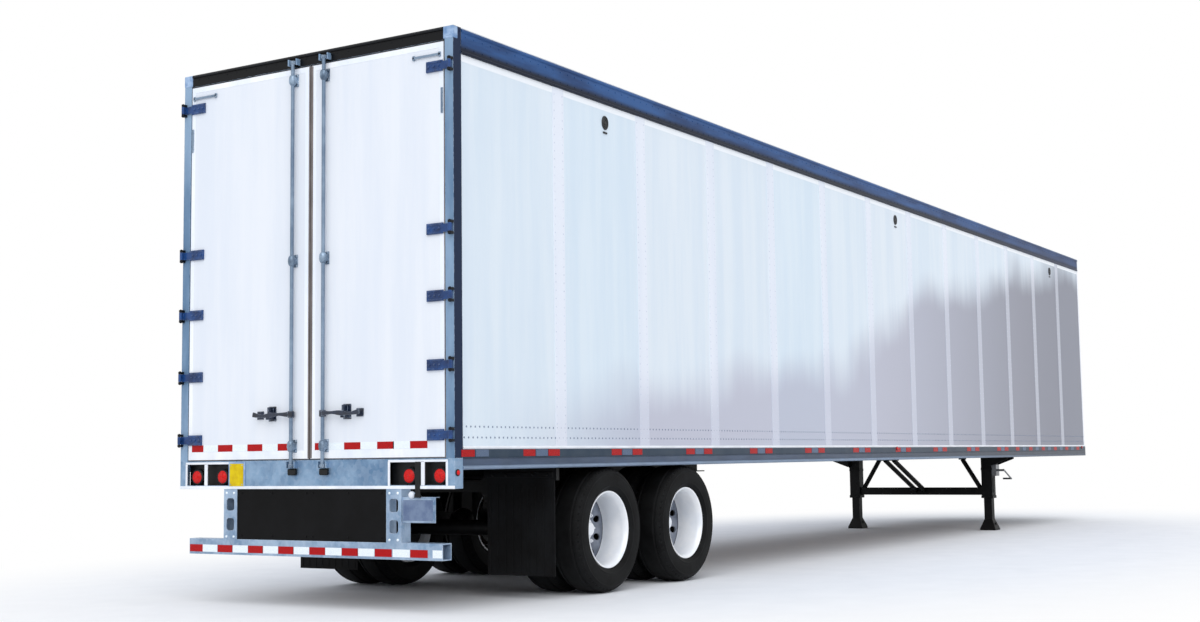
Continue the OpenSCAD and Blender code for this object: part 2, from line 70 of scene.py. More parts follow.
camera = bpy.data.objects.new("camera", bpy.data.cameras.new("camera"))
camera.data.sensor_width = 36
camera.data.lens = 46.5
camera.matrix_world = Matrix.Translation((-16.406, -7.615, 1.047)) @ view_axes.to_4x4()
bpy.context.scene.collection.objects.link(camera)
bpy.context.scene.camera = camera
bpy.context.scene.view_settings.view_transform = "Standard"

# ---- Studio ----------------------------------------------------------------------------------
# A pale concrete floor that fades to white away from the trailer, a soft even sky, and one
# broad lamp from behind on the right.


def colour(code):
    """A colour written as two hex digits each for red, green and blue, as linear light."""
    share = np.array([int(code[i:i + 2], 16) for i in (0, 2, 4)]) / 255
    linear = np.where(share > 0.04045, ((share + 0.055) / 1.055) ** 2.4, share / 12.92)
    return (*linear.tolist(), 1.0)


def add(tree, kind, inputs=None, **settings):
    """Adds a shader node with its settings, and gives its inputs values or links them."""
    made = tree.nodes.new("ShaderNode" + kind)
    for key, value in settings.items():
        setattr(made, key, value)
    for key, value in (inputs or {}).items():
        if isinstance(value, bpy.types.NodeSocket):
            tree.links.new(value, made.inputs[key])
        else:
            made.inputs[key].default_value = value
    return made


def add_math(tree, operation, *values, clamp=False):
    """Adds a Math node and returns its result."""
    made = add(tree, "Math", dict(enumerate(values)), operation=operation, use_clamp=clamp)
    return made.outputs[0]


def seen_directly(tree):
    """1 for rays that show the background itself: from the camera, by gloss or through glass."""
    path = add(tree, "LightPath")
    shiny = add_math(tree, "MAXIMUM", path.outputs["Is Glossy Ray"],
                     path.outputs["Is Transmission Ray"])
    return add_math(tree, "MAXIMUM", path.outputs["Is Camera Ray"], shiny)


world = bpy.data.worlds.new("soft_sky")
world.use_nodes = True
bpy.context.scene.world = world
tree = world.node_tree
tree.nodes.clear()
sky = add(tree, "Background", {"Color": colour("f3f7ff"), "Strength": 0.82})
white = add(tree, "Background", {"Color": (1, 1, 1, 1), "Strength": 1.0})
both = add(tree, "MixShader", {0: seen_directly(tree), 1: sky.outputs[0], 2: white.outputs[0]})
add(tree, "OutputWorld", {"Surface": both.outputs[0]})

lamp = bpy.data.objects.new("broad_lamp", bpy.data.lights.new("broad_lamp", "SUN"))
lamp.data.energy = 1.30
lamp.data.angle = math.radians(55)
lamp.rotation_euler = Vector((-0.72, -0.5, 0.75)).to_track_quat("Z", "Y").to_euler()
bpy.context.scene.collection.objects.link(lamp)

floor_half = 150
floor_mesh = bpy.data.meshes.new("studio_floor")
floor_mesh.from_pydata([(x * floor_half, y * floor_half, 0)
                        for x, y in ((-1, -1), (1, -1), (1, 1), (-1, 1))], [], [(0, 1, 2, 3)])
studio_floor = bpy.data.objects.new("studio_floor", floor_mesh)
bpy.context.scene.collection.objects.link(studio_floor)

concrete = bpy.data.materials.new("pale_concrete")
concrete.use_nodes = True
tree = concrete.node_tree
tree.nodes.clear()
place = add(tree, "TexCoord").outputs["Object"]
grain = add(tree, "TexNoise", {"Vector": place, "Scale": 3.0, "Detail": 8.0})
tone = add(tree, "ValToRGB", {"Fac": grain.outputs[0]})
tone.color_ramp.elements[0].color = colour("e9ebee")
tone.color_ramp.elements[1].color = colour("f6f7f9")
matt = add(tree, "BsdfDiffuse", {"Color": tone.outputs[0]})
glow = add(tree, "Emission", {"Color": (1, 1, 1, 1), "Strength": 1.0})
away = add(tree, "VectorMath", {0: place, 1: (0.11, 0.22, 0.0)}, operation="MULTIPLY")
reach = add(tree, "VectorMath", {0: away.outputs[0]}, operation="LENGTH")
fade = add(tree, "MapRange", {"Value": reach.outputs["Value"], "From Min": 0.7, "From Max": 1.5},
           interpolation_type="SMOOTHSTEP")
share = add_math(tree, "MULTIPLY", fade.outputs[0], seen_directly(tree))
laid = add(tree, "MixShader", {0: share, 1: matt.outputs[0], 2: glow.outputs[0]})
add(tree, "OutputMaterial", {"Surface": laid.outputs[0]})
floor_mesh.materials.append(concrete)

# ---- Side walls ------------------------------------------------------------------------------
# Each wall is a row of pre-painted composite plates, 1.23 m long and about as thick as a
# finger, which run behind the two rails. The paint is a cold white with faint upright streaks,
# and a painted grey reflection climbs from the floor line towards the nose.


def new_group(name, inputs, outputs):
    """A shader node group; inputs maps a socket's name to its default, outputs to its type."""
    group = bpy.data.node_groups.new(name, "ShaderNodeTree")
    kinds = {float: "NodeSocketFloat", tuple: "NodeSocketColor"}
    for key, value in inputs.items():
        made = group.interface.new_socket(key, in_out="INPUT", socket_type=kinds[type(value)])
        made.default_value = value
    for key, kind in outputs.items():
        group.interface.new_socket(key, in_out="OUTPUT", socket_type="NodeSocket" + kind)
    return group, group.nodes.new("NodeGroupInput").outputs, group.nodes.new("NodeGroupOutput").inputs


def use_group(tree, group, **inputs):
    """Places a group in a tree; a name's underscores stand for the spaces in a socket's name."""
    made = tree.nodes.new("ShaderNodeGroup")
    made.node_tree = group
    for key, value in inputs.items():
        socket = made.inputs[key.replace("_", " ")]
        if isinstance(value, bpy.types.NodeSocket):
            tree.links.new(value, socket)
        else:
            socket.default_value = value
    return made.outputs


def mix(tree, share, first, second, blend="MIX"):
    """Mixes two colours by a share from 0 to 1."""
    made = add(tree, "Mix", data_type="RGBA", blend_type=blend)
    for socket, value in zip((made.inputs[0], made.inputs[6], made.inputs[7]), (share, first, second)):
        if isinstance(value, bpy.types.NodeSocket):
            tree.links.new(value, socket)
        else:
            socket.default_value = value
    return made.outputs[2]


def between(tree, value, low, high, to_low=0.0, to_high=1.0):
    """Runs smoothly from to_low to to_high as the value goes from low to high."""
    return add(tree, "MapRange", {"Value": value, "From Min": low, "From Max": high,
                                  "To Min": to_low, "To Max": to_high},
               interpolation_type="SMOOTHSTEP").outputs[0]


def place_axes(tree):
    """A point's X, Y and Z on the object."""
    return add(tree, "SeparateXYZ", {0: add(tree, "TexCoord").outputs["Object"]}).outputs


def new_material(name, rough, metal=0.0, gloss=0.5, coat=0.0):
    """A material, its tree and its Principled shader, with the values that don't vary."""
    made = bpy.data.materials.new(name)
    made.use_nodes = True
    shader = made.node_tree.nodes["Principled BSDF"]
    shader.inputs["Roughness"].default_value = rough
    shader.inputs["Metallic"].default_value = metal
    shader.inputs["Specular IOR Level"].default_value = gloss
    shader.inputs["Coat Weight"].default_value = coat
    return made, made.node_tree, shader


def coat_nodes(material, *names):
    """Gives the CAD nodes of these names one material."""
    for name in names:
        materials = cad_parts[name].data.materials
        materials.clear()
        materials.append(material)


# Grain: two noises on Object coordinates, one for the tone and one for a fine relief.
grain_group, taken, given = new_group(
    "grain", {"First": (1.0, 1.0, 1.0, 1.0), "Second": (0.5, 0.5, 0.5, 1.0), "Scale": 4.0,
              "Relief Scale": 300.0, "Relief": 0.1, "Upright": 1.0},
    {"Color": "Color", "Mask": "Float", "Normal": "Vector"})
tree = grain_group
where = add(tree, "TexCoord").outputs["Object"]
stretch = add(tree, "CombineXYZ", {"X": 1.0, "Y": 1.0, "Z": taken["Upright"]})
pulled = add(tree, "VectorMath", {0: where, 1: stretch.outputs[0]}, operation="MULTIPLY")
noise = add(tree, "TexNoise", {"Vector": pulled.outputs[0], "Scale": taken["Scale"], "Detail": 6.0,
                               "Roughness": 0.6})
tree.links.new(between(tree, noise.outputs[0], 0.32, 0.68), given["Mask"])
tone = mix(tree, between(tree, noise.outputs[0], 0.32, 0.68), taken["First"], taken["Second"])
tree.links.new(tone, given["Color"])
fine = add(tree, "TexNoise", {"Vector": where, "Scale": taken["Relief Scale"], "Detail": 3.0})
relief = add(tree, "Bump", {"Height": fine.outputs[0], "Strength": taken["Relief"],
                            "Distance": 0.001})
tree.links.new(relief.outputs[0], given["Normal"])

# Bright edges: where a rounded normal leaves the flat one, an edge is near. Some materials show real wear
# there, and others a painted highlight.
wear_and_highlight_edges, taken, given = new_group(
    "worn_and_highlit_edges", {"Width": 0.004, "Amount": 1.0}, {"Mask": "Float", "Normal": "Vector"})
tree = wear_and_highlight_edges
rounded = add(tree, "Bevel", {"Radius": taken["Width"]}, samples=4)
flat = add(tree, "NewGeometry")
alike = add(tree, "VectorMath", {0: rounded.outputs[0], 1: flat.outputs["Normal"]},
            operation="DOT_PRODUCT")
where = add(tree, "TexCoord").outputs["Object"]
broken = add(tree, "TexNoise", {"Vector": where, "Scale": 35.0, "Detail": 5.0})
near = between(tree, alike.outputs["Value"], 0.995, 0.86)
torn = between(tree, broken.outputs[0], 0.40, 0.58)
edge_wear_and_highlight = add_math(tree, "MULTIPLY", add_math(tree, "MULTIPLY", near, torn), taken["Amount"], clamp=True)
tree.links.new(edge_wear_and_highlight, given["Mask"])
tree.links.new(rounded.outputs[0], given["Normal"])

# Road film: it lies thickest near the ground, and thins out unevenly with height.
film_group, taken, given = new_group(
    "road_film", {"Clean": (1.0, 1.0, 1.0, 1.0), "Film": (0.3, 0.3, 0.3, 1.0), "Low": 0.2,
                  "High": 1.2, "Amount": 0.5},
    {"Color": "Color", "Mask": "Float"})
tree = film_group
where = add(tree, "TexCoord").outputs["Object"]
cloud = add(tree, "TexNoise", {"Vector": where, "Scale": 6.0, "Detail": 7.0, "Roughness": 0.62})
rise = add(tree, "MapRange", {"Value": place_axes(tree)["Z"], "From Min": taken["Low"],
                              "From Max": taken["High"], "To Min": 1.0, "To Max": 0.0})
patch = between(tree, cloud.outputs[0], 0.30, 0.72)
share = add_math(tree, "MULTIPLY", add_math(tree, "MULTIPLY", rise.outputs[0], patch),
                 taken["Amount"], clamp=True)
tree.links.new(share, given["Mask"])
tree.links.new(mix(tree, share, taken["Clean"], taken["Film"]), given["Color"])

wall_low, wall_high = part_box("side_wall_left")
rail_low, rail_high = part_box("top_rails")
sill_rail_low, sill_rail_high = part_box("bottom_rails")
panel_pitch = 1.229
panel_count = 13
rear_x, nose_x = cad_low.x + 0.06, cad_high.x - 0.06
first_joint = rear_x + (nose_x - rear_x - panel_count * panel_pitch) / 2


def painted_plate(name, clean, shaded, low_reflection, far_reflection, reflection_share, tinted=True):
    """Cold white paint with upright streaks. A painted grey reflection lies under a line that climbs
    8 cm a metre, with 0.85 m more from x -1.5 to 1.8 and 0.25 m from 2 to 6; tinted plates each have
    their shade, and a painted highlight just under the top rail."""
    material, tree, shader = new_material(name, rough=0.34, gloss=0.35)
    axes = place_axes(tree)
    streaks = use_group(tree, grain_group, First=colour(clean), Second=colour(shaded), Scale=5.0,
                        Relief_Scale=700.0, Relief=0.03, Upright=0.08)
    # Painted reflection: a grey tone lies under a wandering line that climbs towards the nose.
    slope = add_math(tree, "MULTIPLY_ADD", axes["X"], 0.08, 2.094)
    step = between(tree, axes["X"], -1.5, 1.8, 0.0, 0.85)
    last = between(tree, axes["X"], 2.0, 6.0, 0.0, 0.25)
    edge = add_math(tree, "ADD", slope, add_math(tree, "ADD", step, last))
    where = add(tree, "TexCoord").outputs["Object"]
    drift = add(tree, "TexNoise", {"Vector": where, "Scale": 0.8, "Detail": 1.5})
    wander = between(tree, drift.outputs[0], 0.3, 0.7, -0.13, 0.13)
    runs = between(tree, streaks["Mask"], 0.0, 1.0, -0.02, 0.02)
    edge = add_math(tree, "ADD", edge, add_math(tree, "ADD", wander, runs))
    under = add_math(tree, "SUBTRACT", edge, axes["Z"])
    depth = between(tree, axes["X"], -7.9, -5.3, 0.0, 1.0)
    painted_reflection = add_math(tree, "MULTIPLY", between(tree, under, -0.26, 0.30), depth)
    painted_reflection = add_math(tree, "MULTIPLY", painted_reflection, reflection_share)
    far = between(tree, axes["X"], -2.5, 7.0)
    reflected_tone = mix(tree, far, colour(low_reflection), colour(far_reflection))
    paint = mix(tree, painted_reflection, streaks["Color"], reflected_tone)
    if tinted:
        along = add_math(tree, "SUBTRACT", axes["X"], first_joint)
        number = add_math(tree, "FLOOR", add_math(tree, "DIVIDE", along, panel_pitch))
        plate = add(tree, "TexWhiteNoise", {"W": number}, noise_dimensions="1D")
        tint = mix(tree, plate.outputs["Value"], colour("eff6fb"), colour("fffafa"))
        paint = mix(tree, 0.4, paint, tint, "MULTIPLY")
        # Painted highlight: a light strip on the plates just under the top rail.
        highlight_band = between(tree, axes["Z"], rail_low.z - 0.055, rail_low.z - 0.045)
        paint = mix(tree, highlight_band, paint, colour("f6f9fb"))
    tree.links.new(paint, shader.inputs["Base Color"])
    tree.links.new(streaks["Normal"], shader.inputs["Normal"])
    tree.links.new(between(tree, painted_reflection, 0.0, 1.0, 0.34, 0.45), shader.inputs["Roughness"])
    return material


coat_nodes(painted_plate("plate_white", "e4edf2", "dbe7ef", "c3c5d1", "8b8c96", 1.0),
           "side_wall_left", "side_wall_right")

# ---- Joint strips ----------------------------------------------------------------------------
# A flat strip of painted steel covers the gap between two plates. Two rows of domed rivets
# hold it down each edge.

# The strips carry the same painted grey reflection as the plates.
coat_nodes(painted_plate("strip_white", "e9edf4", "e1e7f0", "cdcfdb", "b4b5be", 0.9, tinted=False),
           "splice_strips")


def mesh_piece(name, points, faces, material, body, slot, smooth=False):
    """A finished piece: its points (n, 3), its faces as arrays of indices, and what it rides on."""
    mesh = bpy.data.meshes.new(name)
    mesh.from_pydata(points.tolist(), [], [row for block in faces for row in block.tolist()])
    mesh.validate()
    if smooth:
        mesh.shade_smooth()
    mesh.materials.append(material)
    made = bpy.data.objects.new(name, mesh)
    bpy.context.scene.collection.objects.link(made)
    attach(made, body)
    return made


def axes_about(direction):
    """Two unit vectors across a direction, and the direction itself, as a right-handed set."""
    main = np.array(direction, float) / np.linalg.norm(direction)
    side = np.cross([0.0, 0.0, 1.0] if abs(main[2]) < 0.9 else [1.0, 0.0, 0.0], main)
    side /= np.linalg.norm(side)
    return np.array([side, np.cross(main, side), main])


def repeated(faces, times, size):
    """The faces of a mesh of size points, for so many copies of it in a row."""
    step = np.arange(times)[:, None, None] * size
    return [(block[None] + step).reshape(-1, block.shape[1]) for block in faces]


def copies(points, faces, places):
    """One small mesh repeated at every place."""
    places = np.asarray(places, float).reshape(-1, 3)
    moved = (places[:, None] + points[None]).reshape(-1, 3)
    return moved, repeated(faces, len(places), len(points))


def joined(*meshes):
    """Several (points, faces) pairs as one."""
    starts = np.cumsum([0] + [len(points) for points, _ in meshes])
    blocks = [block + start for (_, faces), start in zip(meshes, starts) for block in faces]
    return np.concatenate([points for points, _ in meshes]), blocks


def net(rows, count, looped=False, flipped=False):
    """Quads over rows of count points round a closed line; looped joins the last row to the first."""
    i, j = np.meshgrid(np.arange(rows if looped else rows - 1), np.arange(count), indexing="ij")
    after, beside = (i + 1) % rows, (j + 1) % count
    quads = np.stack([i * count + j, i * count + beside, after * count + beside,
                      after * count + j], -1).reshape(-1, 4)
    return quads[:, [0, 3, 2, 1]] if flipped else quads


def turned(profile, centre, direction, count=48, phase=0.0):
    """A profile of (distance along the axis, radius) turned round it: centre + s a + r (u cos t +
    v sin t). Radius 0 at both ends closes it on its poles, and any other profile is a closed
    ring whose outer side runs along the axis."""
    profile = np.asarray(profile, float)
    side, up, main = axes_about(direction)
    turn = phase + np.arange(count) * 2 * np.pi / count
    spokes = np.cos(turn)[:, None] * side + np.sin(turn)[:, None] * up
    poles = profile[0, 1] == 0 and profile[-1, 1] == 0
    rings = profile[1:-1] if poles else profile
    points = (np.asarray(centre, float) + rings[:, None, :1] * main + rings[:, None, 1:] * spokes[None])
    points = points.reshape(-1, 3)
    rows = len(rings)
    quads = net(rows, count, looped=not poles)
    if not poles:
        return points, [quads]
    ends = np.asarray(centre, float) + profile[[0, -1], :1] * main
    k = np.arange(count)
    first, last = len(points), len(points) + 1
    low = np.stack([np.full(count, first), (k + 1) % count, k], -1)
    top = (rows - 1) * count
    high = np.stack([np.full(count, last), top + k, top + (k + 1) % count], -1)
    return np.concatenate([points, ends]), [quads, low, high]


def domes(places, radius, height, direction, count=6):
    """Rivet heads: flattened domes on a short skirt, at every place."""
    profile = [(-0.001, 0), (-0.001, radius), (height * 0.55, radius * 0.86),
               (height, radius * 0.35), (height, 0)]
    return copies(*turned(profile, (0, 0, 0), direction, count), places)


def grid(*axes):
    """Every combination of the values on each axis, as an array of rows."""
    return np.stack(np.meshgrid(*axes, indexing="ij"), -1).reshape(-1, len(axes))


def mirrored(points, faces):
    """The same mesh on the other side of the middle plane, with its faces turned back."""
    return points * np.array([1.0, -1.0, 1.0]), [block[:, ::-1] for block in faces]


def both_sides(points, faces):
    """A mesh made on the left, together with its mirror image."""
    return joined((points, faces), mirrored(points, faces))


def finish(name, first, second, scale, fine, relief, upright=1.0, edges=None, film=None,
           film_rough=None, **values):
    """Two tones over a fine relief. Edges (width, amount, colour) take that colour, as chipped wear on
    some materials and a painted highlight on others. Film (colour, low, high, amount) dulls it up to a
    height, and film_rough is (full mask, clean, dirty)."""
    material, tree, shader = new_material(name, **values)
    skin = use_group(tree, grain_group, First=colour(first), Second=colour(second), Scale=scale,
                     Relief_Scale=fine, Relief=relief, Upright=upright)
    tone = skin["Color"]
    if edges:
        edge_wear_and_highlight = use_group(tree, wear_and_highlight_edges, Width=edges[0], Amount=edges[1])
        tone = mix(tree, edge_wear_and_highlight["Mask"], tone, colour(edges[2]))
    if film:
        dirt, low, high, amount = film
        laid = use_group(tree, film_group, Clean=tone, Film=colour(dirt), Low=low, High=high, Amount=amount)
        tone = laid["Color"]
    if film_rough:
        full, clean, dirty = film_rough
        tree.links.new(between(tree, laid["Mask"], 0.0, full, clean, dirty), shader.inputs["Roughness"])
    tree.links.new(tone, shader.inputs["Base Color"])
    tree.links.new(skin["Normal"], shader.inputs["Normal"])
    return material


rivet_paint = finish("rivet_paint", "dfe3ee", "c6cddb", scale=9.0, fine=900.0, relief=0.05, rough=0.42)

strip_low, strip_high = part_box("splice_strips")
joint_x = first_joint + panel_pitch * np.arange(1, panel_count)
strip_rows = np.sort(np.concatenate([joint_x - 0.055, joint_x + 0.055]))
strip_rivets = grid(strip_rows, [strip_high.y], np.arange(strip_low.z + 0.04, strip_high.z - 0.02, 0.062))
mesh_piece("strip_rivets", *both_sides(*domes(strip_rivets, 0.0065, 0.0028, (0, 1, 0))), rivet_paint,
           "chassis", "strip", smooth=True)

# ---- Top rails -------------------------------------------------------------------------------
# An extruded aluminium rail with a blue anodised face runs the length of each side. It has a
# rounded top lip, a shallow channel, a drip edge and two rows of rivets. Painted shade darkens
# its bottom part, and a painted reflection darkens it towards the nose.


def extruded(outline, start, end, axis=0):
    """A closed outline carried straight along an axis, with both ends closed. The outline's two
    columns are the other two axes in order, and it runs anticlockwise seen against the axis."""
    outline = np.asarray(outline, float)
    count = len(outline)
    others = [(axis + 1) % 3, (axis + 2) % 3]
    points = np.zeros((2, count, 3))
    points[:, :, others] = outline
    points[0, :, axis], points[1, :, axis] = start, end
    i = np.arange(count)
    sides = np.stack([i, (i + 1) % count, count + (i + 1) % count, count + i], -1)
    return points.reshape(-1, 3), [sides, i[None, ::-1], (count + i)[None]]


def lobes(ridges, base, samples=7):
    """The outer edge of a section: for each ridge (low, high, bulge), base + bulge * sin(pi t)
    to the power 0.6, at heights from low to high; it returns rows of (out, up)."""
    t = np.linspace(0, 1, samples)
    rows = [np.stack([base + bulge * np.sin(np.pi * t) ** 0.6, low + (high - low) * t], -1)
            for low, high, bulge in ridges]
    return np.concatenate(rows)


def rail_face(ridges, base, inner, start, end):
    """A rail's outer skin on the left side: its ridged edge, closed by a flat back at inner."""
    edge = lobes(ridges, base)
    back = np.array([[inner, edge[-1, 1]], [inner, edge[0, 1]]])
    return extruded(np.concatenate([edge, back]), start, end)


rail_x0, rail_x1 = rail_low.x, rail_high.x
rail_y = rail_high.y
top_ridges = [(rail_low.z + 0.001, rail_low.z + 0.020, 0.006),
              (rail_low.z + 0.024, rail_high.z - 0.034, 0.0015),
              (rail_high.z - 0.030, rail_high.z - 0.001, 0.009)]
left_rail = rail_face(top_ridges, rail_y + 0.0005, rail_y - 0.002, rail_x0, rail_x1)
blue_rail, tree, shader = new_material("blue_anodised", rough=0.45, metal=0.2, gloss=0.25)
axes = place_axes(tree)
drawn = use_group(tree, grain_group, First=colour("2c5890"), Second=colour("173a6a"), Scale=1.3,
                  Relief_Scale=500.0, Relief=0.06, Upright=6.0)
# Painted shade: the rail's bottom part darkens to near black.
painted_shade_band = between(tree, axes["Z"], rail_low.z + 0.028, rail_low.z + 0.080, 1.0, 0.0)
tone = mix(tree, painted_shade_band, drawn["Color"], colour("0c182d"))
# Painted reflection: the rail darkens towards the nose.
nose_reflection_band = between(tree, axes["X"], 2.0, 7.5, 0.0, 0.55)
tone = mix(tree, nose_reflection_band, tone, colour("152a52"))
tree.links.new(tone, shader.inputs["Base Color"])
tree.links.new(drawn["Normal"], shader.inputs["Normal"])
mesh_piece("top_rail_faces", *both_sides(*left_rail), blue_rail, "chassis", "rail_blue")
coat_nodes(blue_rail, "top_rails")

top_rows = grid(np.arange(rail_x0 + 0.05, rail_x1, 0.10), [rail_y + 0.002],
                [rail_low.z + 0.045, rail_high.z - 0.052])
left_rivets = domes(top_rows, 0.0065, 0.003, (0, 1, 0))
mesh_piece("top_rail_rivets", *both_sides(*left_rivets), blue_rail, "chassis",
           "rail_blue", smooth=True)

# ---- Bottom rails ----------------------------------------------------------------------------
# The floor hangs from this deep extruded rail. A white lip covers the plates' lower edge, the
# upper half is a recess for the tape, and a bright round lip closes the bottom.

low_z, high_z = sill_rail_low.z, sill_rail_high.z
side_y = sill_rail_high.y
tape_z0, tape_z1 = high_z - 0.075, high_z - 0.023
bottom_ridges = [(low_z + 0.001, low_z + 0.024, 0.009), (low_z + 0.026, tape_z0 - 0.012, 0.0025),
                 (tape_z0 - 0.010, tape_z0 - 0.002, 0.007), (tape_z0 - 0.001, tape_z1 + 0.001, 0.0002),
                 (tape_z1 + 0.003, high_z - 0.001, 0.006)]
left_rail = rail_face(bottom_ridges, side_y + 0.0005, side_y - 0.002, sill_rail_low.x, sill_rail_high.x)
silver_rail, tree, shader = new_material("mill_silver", rough=0.4, metal=0.3, gloss=0.35)
axes = place_axes(tree)
drawn = use_group(tree, grain_group, First=colour("485871"), Second=colour("35455d"), Scale=1.6,
                  Relief_Scale=400.0, Relief=0.08, Upright=7.0)
# Painted reflection: the rail and its bottom lip darken towards the nose.
painted_reflection_tone = mix(tree, between(tree, axes["X"], -4.5, 3.0), drawn["Color"], colour("303b4c"))
shade = mix(tree, between(tree, axes["Z"], tape_z0 - 0.012, tape_z0 - 0.004), painted_reflection_tone, colour("1b3348"))
shade = mix(tree, between(tree, axes["Z"], tape_z1, tape_z1 + 0.004), shade, colour("f4f7fb"))
shade = mix(tree, between(tree, axes["Z"], low_z + 0.024, low_z + 0.030, 1.0, 0.0), shade,
            mix(tree, between(tree, axes["X"], 0.0, 7.0), colour("8396ae"), colour("455164")))
film = use_group(tree, film_group, Clean=shade, Film=colour("59636c"), Low=0.9, High=1.3, Amount=0.35)
tree.links.new(film["Color"], shader.inputs["Base Color"])
tree.links.new(drawn["Normal"], shader.inputs["Normal"])
mesh_piece("bottom_rail_faces", *both_sides(*left_rail), silver_rail, "chassis",
           "rail_silver")
coat_nodes(silver_rail, "bottom_rails", "nose_frame")

lower_x = np.arange(wall_low.x + 0.03, wall_high.x, 0.0508)
wall_rows = np.concatenate([grid(lower_x, [wall_high.y], [high_z + 0.058]),
                            grid(lower_x + 0.0254, [wall_high.y], [high_z + 0.132])])
left_rivets = domes(wall_rows, 0.008, 0.0034, (0, 1, 0))
foot_rivet = finish("foot_rivet", "8d99ac", "6f7c90", scale=9.0, fine=900.0, relief=0.05,
                    rough=0.45, metal=0.3)
mesh_piece("wall_foot_rivets", *both_sides(*left_rivets), foot_rivet, "chassis",
           "panel", smooth=True)

# ---- Reflective tape -------------------------------------------------------------------------
# Self-adhesive sheeting in red and white lengths of 150 mm. Small prisms moulded in rows
# under its face give it a fine honeycomb.


def block_faces():
    """Faces of a chamfered block, whose corner i has three points, each full along one axis. Each
    side, edge and corner gives one face, turned back where its signs would point it inwards."""
    signs = np.array([(a, b, c) for a in (-1, 1) for b in (-1, 1) for c in (-1, 1)])
    code = {tuple(s): 3 * i for i, s in enumerate(signs)}
    quads = []

    def corner(axis, *values):
        return code[tuple(np.roll(values, axis))]

    for axis in range(3):
        j, k = (axis + 1) % 3, (axis + 2) % 3
        for s in (-1, 1):
            ring = [corner(axis, s, a, b) + axis for a, b in ((-1, -1), (1, -1), (1, 1), (-1, 1))]
            quads.append(ring if s > 0 else ring[::-1])
        for a, b in ((-1, -1), (-1, 1), (1, -1), (1, 1)):
            one, two = corner(axis, -1, a, b), corner(axis, 1, a, b)
            ring = [one + j, two + j, two + k, one + k]
            quads.append(ring if a * b < 0 else ring[::-1])
    tips = [[3 * i, 3 * i + 1, 3 * i + 2][::s.prod()] for i, s in enumerate(signs)]
    return signs, [np.array(quads), np.array(tips)]


def blocks(corners, chamfer):
    """Blocks between two corners each, their edges cut flat: for each corner sign s the three
    points middle + s * (half - chamfer), pushed out again by the chamfer along one axis."""
    corners = np.sort(np.asarray(corners, float).reshape(-1, 2, 3), axis=1)
    signs, faces = block_faces()
    middle, half = corners.mean(1), (corners[:, 1] - corners[:, 0]) / 2
    cut = np.minimum(chamfer, half.min(1) * 0.7)[:, None, None, None]
    inner = half[:, None, None] - cut
    pushed = inner + cut * np.eye(3)[None, None]
    points = middle[:, None, None] + signs[None, :, None] * pushed
    return points.reshape(-1, 3), repeated(faces, len(corners), 24)


def sheeting(name, first, second):
    """The tape's colour over fine cells, darker at their walls."""
    material, tree, shader = new_material(name, rough=0.38, gloss=0.2)
    where = add(tree, "TexCoord").outputs["Object"]
    cells = add(tree, "TexVoronoi", {"Vector": where, "Scale": 260.0}, feature="DISTANCE_TO_EDGE")
    walls = between(tree, cells.outputs["Distance"], 0.02, 0.14)
    tree.links.new(mix(tree, walls, colour(second), colour(first)), shader.inputs["Base Color"])
    relief = add(tree, "Bump", {"Height": walls, "Strength": 0.15, "Distance": 0.0006})
    tree.links.new(relief.outputs[0], shader.inputs["Normal"])
    return material


red_tape = sheeting("red_sheeting", "be0208", "840206")
white_tape = sheeting("white_sheeting", "f8fdfe", "d6e2e9")
# Painted shade: the sides' white lengths use this darker grey-blue copy of the white sheeting.
white_tape_painted_shade = sheeting("white_sheeting_painted_shade", "62728a", "4a5a72")
tape_l = 0.150
tape_t = 0.0012
side_face = side_y + 0.0009
pairs = rear_x + 0.88 + 1.207 * np.arange(10)
reds = np.concatenate([[rear_x + 0.147], pairs, pairs + 0.32,
                       np.arange(nose_x - 3.6, nose_x - 0.3, 0.61)])
whites = np.concatenate([pairs + 0.16, [rear_x + 0.31],
                         np.arange(nose_x - 3.3, nose_x - 0.3, 0.61)])


def side_tapes(middles):
    """Tape plates in the rail's recess on the left, around each middle."""
    low = np.stack([middles - tape_l / 2, np.full(len(middles), side_face - 0.001),
                    np.full(len(middles), tape_z0 + 0.002)], -1)
    high = low + np.array([tape_l, tape_t + 0.001, tape_z1 - tape_z0 - 0.004])
    return blocks(np.stack([low, high], 1), 0.0004)


# On the sides the white lengths get the shaded copy.
for word, middles, tape in (("red", reds, red_tape), ("white", whites, white_tape_painted_shade)):
    left = side_tapes(np.sort(middles))
    mesh_piece(f"side_tape_{word}", *both_sides(*left), tape, "chassis",
               "lens_red" if word == "red" else "strip")

# ---- Vents -----------------------------------------------------------------------------------
# Three black moulded air vents sit high on each side, under the rail: an oval rim round a
# dished face, with a hood at its foot that sheds the rain.

vent_x = (-6.085, 0.197, 6.40)
vent_z = 3.685
vent_half = np.array([0.045, 0.056])


def oval_dish(middle, half, profile, count=40):
    """An oval cover on the left wall: for each (share, out) of the profile, a ring at
    middle + share * (half_x cos t, half_z sin t), lifted out from the wall."""
    profile = np.asarray(profile, float)
    t = np.arange(count) * 2 * np.pi / count
    ring = np.stack([half[0] * np.cos(t), np.zeros(count), half[1] * np.sin(t)], -1)
    rings = profile[:-1, 0, None, None] * ring + profile[:-1, 1, None, None] * np.array([0, 1.0, 0])
    points = np.concatenate([rings.reshape(-1, 3), [[0, profile[-1, 1], 0]]]) + middle
    quads = net(len(profile) - 1, count, flipped=True)
    k, start = np.arange(count), (len(profile) - 2) * count
    fan = np.stack([start + k, np.full(count, len(points) - 1), start + (k + 1) % count], -1)
    back = k[None]
    return points, [quads, fan, back]


